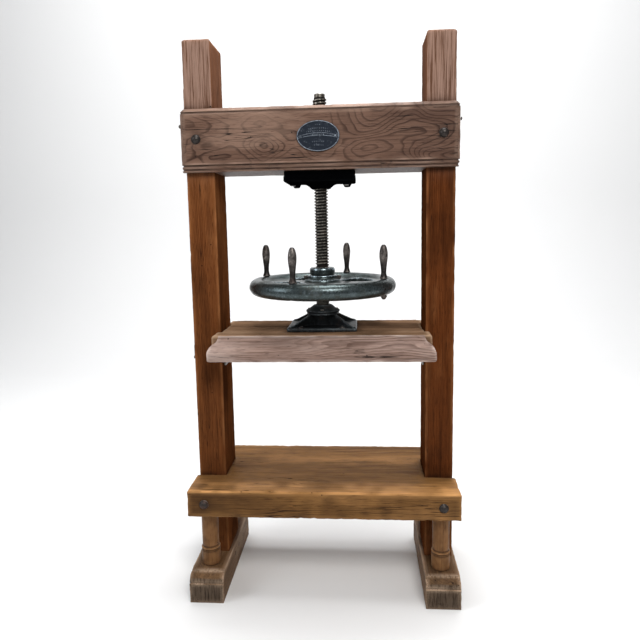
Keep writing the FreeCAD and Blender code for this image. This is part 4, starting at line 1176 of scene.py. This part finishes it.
KEPT = {"main_screw": "screw_steel", "wheel_key": "shaft_steel", "thrust_collar": "shaft_steel",
        "thrust_pin": "shaft_steel", "thrust_washer": "washer_bronze", "left_foot_pegs": "peg_oak",
        "right_foot_pegs": "peg_oak"}
for node, finish in KEPT.items():
    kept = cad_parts[node]
    kept.data.materials.clear()
    kept.data.materials.append(FINISHES[finish])
    kept.data.shade_smooth()
    kept.data.set_sharp_from_angle(angle=math.radians(24))
print("kept from the measured model:", ", ".join(KEPT))

# %% [markdown]
# ## Floor and light
# The press stands on a pale floor that sweeps up into the wall behind. One wide soft window is in front
# and above, a weaker one on the left, and a skylight overhead. A fourth lamp only lights the wall, and a
# dim sky all round fills the shadows.

# %% Floor, world and lamps
FLOOR_END, BEND, STEPS = 2.6, 1.6, 12
TURNS = [math.pi / 2 * k / STEPS for k in range(1, STEPS + 1)]
SWEEP = [(-6.0, 0.0), (FLOOR_END, 0.0)]
SWEEP += [(FLOOR_END + BEND * math.sin(t), BEND - BEND * math.cos(t)) for t in TURNS]
SWEEP += [(FLOOR_END + BEND, 7.0)]
floor_data = bpy.data.meshes.new("floor")
floor_mesh = bmesh.new()
edges = [[floor_mesh.verts.new((x, y, z)) for y, z in SWEEP] for x in (-9.0, 9.0)]
for k in range(len(SWEEP) - 1):
    floor_mesh.faces.new((edges[0][k], edges[1][k], edges[1][k + 1], edges[0][k + 1]))
floor_mesh.to_mesh(floor_data)
floor_mesh.free()
floor_data.shade_smooth()
floor = bpy.data.objects.new("floor", floor_data)
bpy.context.scene.collection.objects.link(floor)
floor_paint, floor_tree, floor_shader = blank("floor_paint")
floor_spots = step(floor_tree, "TexNoise", {"Scale": 3.0, "Detail": 3.0})
floor_colour = blend_colours(floor_tree, floor_spots, (0.80, 0.80, 0.80, 1), (0.84, 0.84, 0.84, 1))
connect(floor_tree, floor_colour, floor_shader, "Base Color")
floor_shader.inputs["Roughness"].default_value = 0.85
floor_data.materials.append(floor_paint)

world = bpy.data.worlds.new("room")
bpy.context.scene.world = world
world.use_nodes = True
background = world.node_tree.nodes["Background"]
background.inputs["Color"].default_value = (0.93, 0.96, 1.0, 1)
background.inputs["Strength"].default_value = 0.24


def window_light(name, place, target, size, power, colour):
    """A soft rectangular window that faces a point."""
    data = bpy.data.lights.new(name, "AREA")
    data.shape = "RECTANGLE"
    data.size, data.size_y = size
    data.energy = power
    data.color = colour
    lamp = bpy.data.objects.new(name, data)
    bpy.context.scene.collection.objects.link(lamp)
    aim = Vector(target) - Vector(place)
    lamp.matrix_world = Matrix.Translation(place) @ aim.to_track_quat("-Z", "Y").to_matrix().to_4x4()
    return lamp


window_light("window_front", (0.9, -3.0, 3.6), (0, 0, 0.9), (1.8, 1.2), 105, (1.0, 0.98, 0.95))
window_light("window_left", (-2.8, -1.4, 2.4), (0, 0, 1.0), (1.2, 2.0), 32, (0.93, 0.96, 1.0))
window_light("skylight", (0.2, 0.1, 4.2), (0, 0, 0.6), (1.6, 1.6), 110, (1.0, 1.0, 1.0))
window_light("wall_washer", (0.0, 1.6, 5.2), (0, 4.2, 1.6), (6.0, 1.0), 170, (1.0, 1.0, 1.0))
bpy.context.scene.view_settings.view_transform = "Standard"
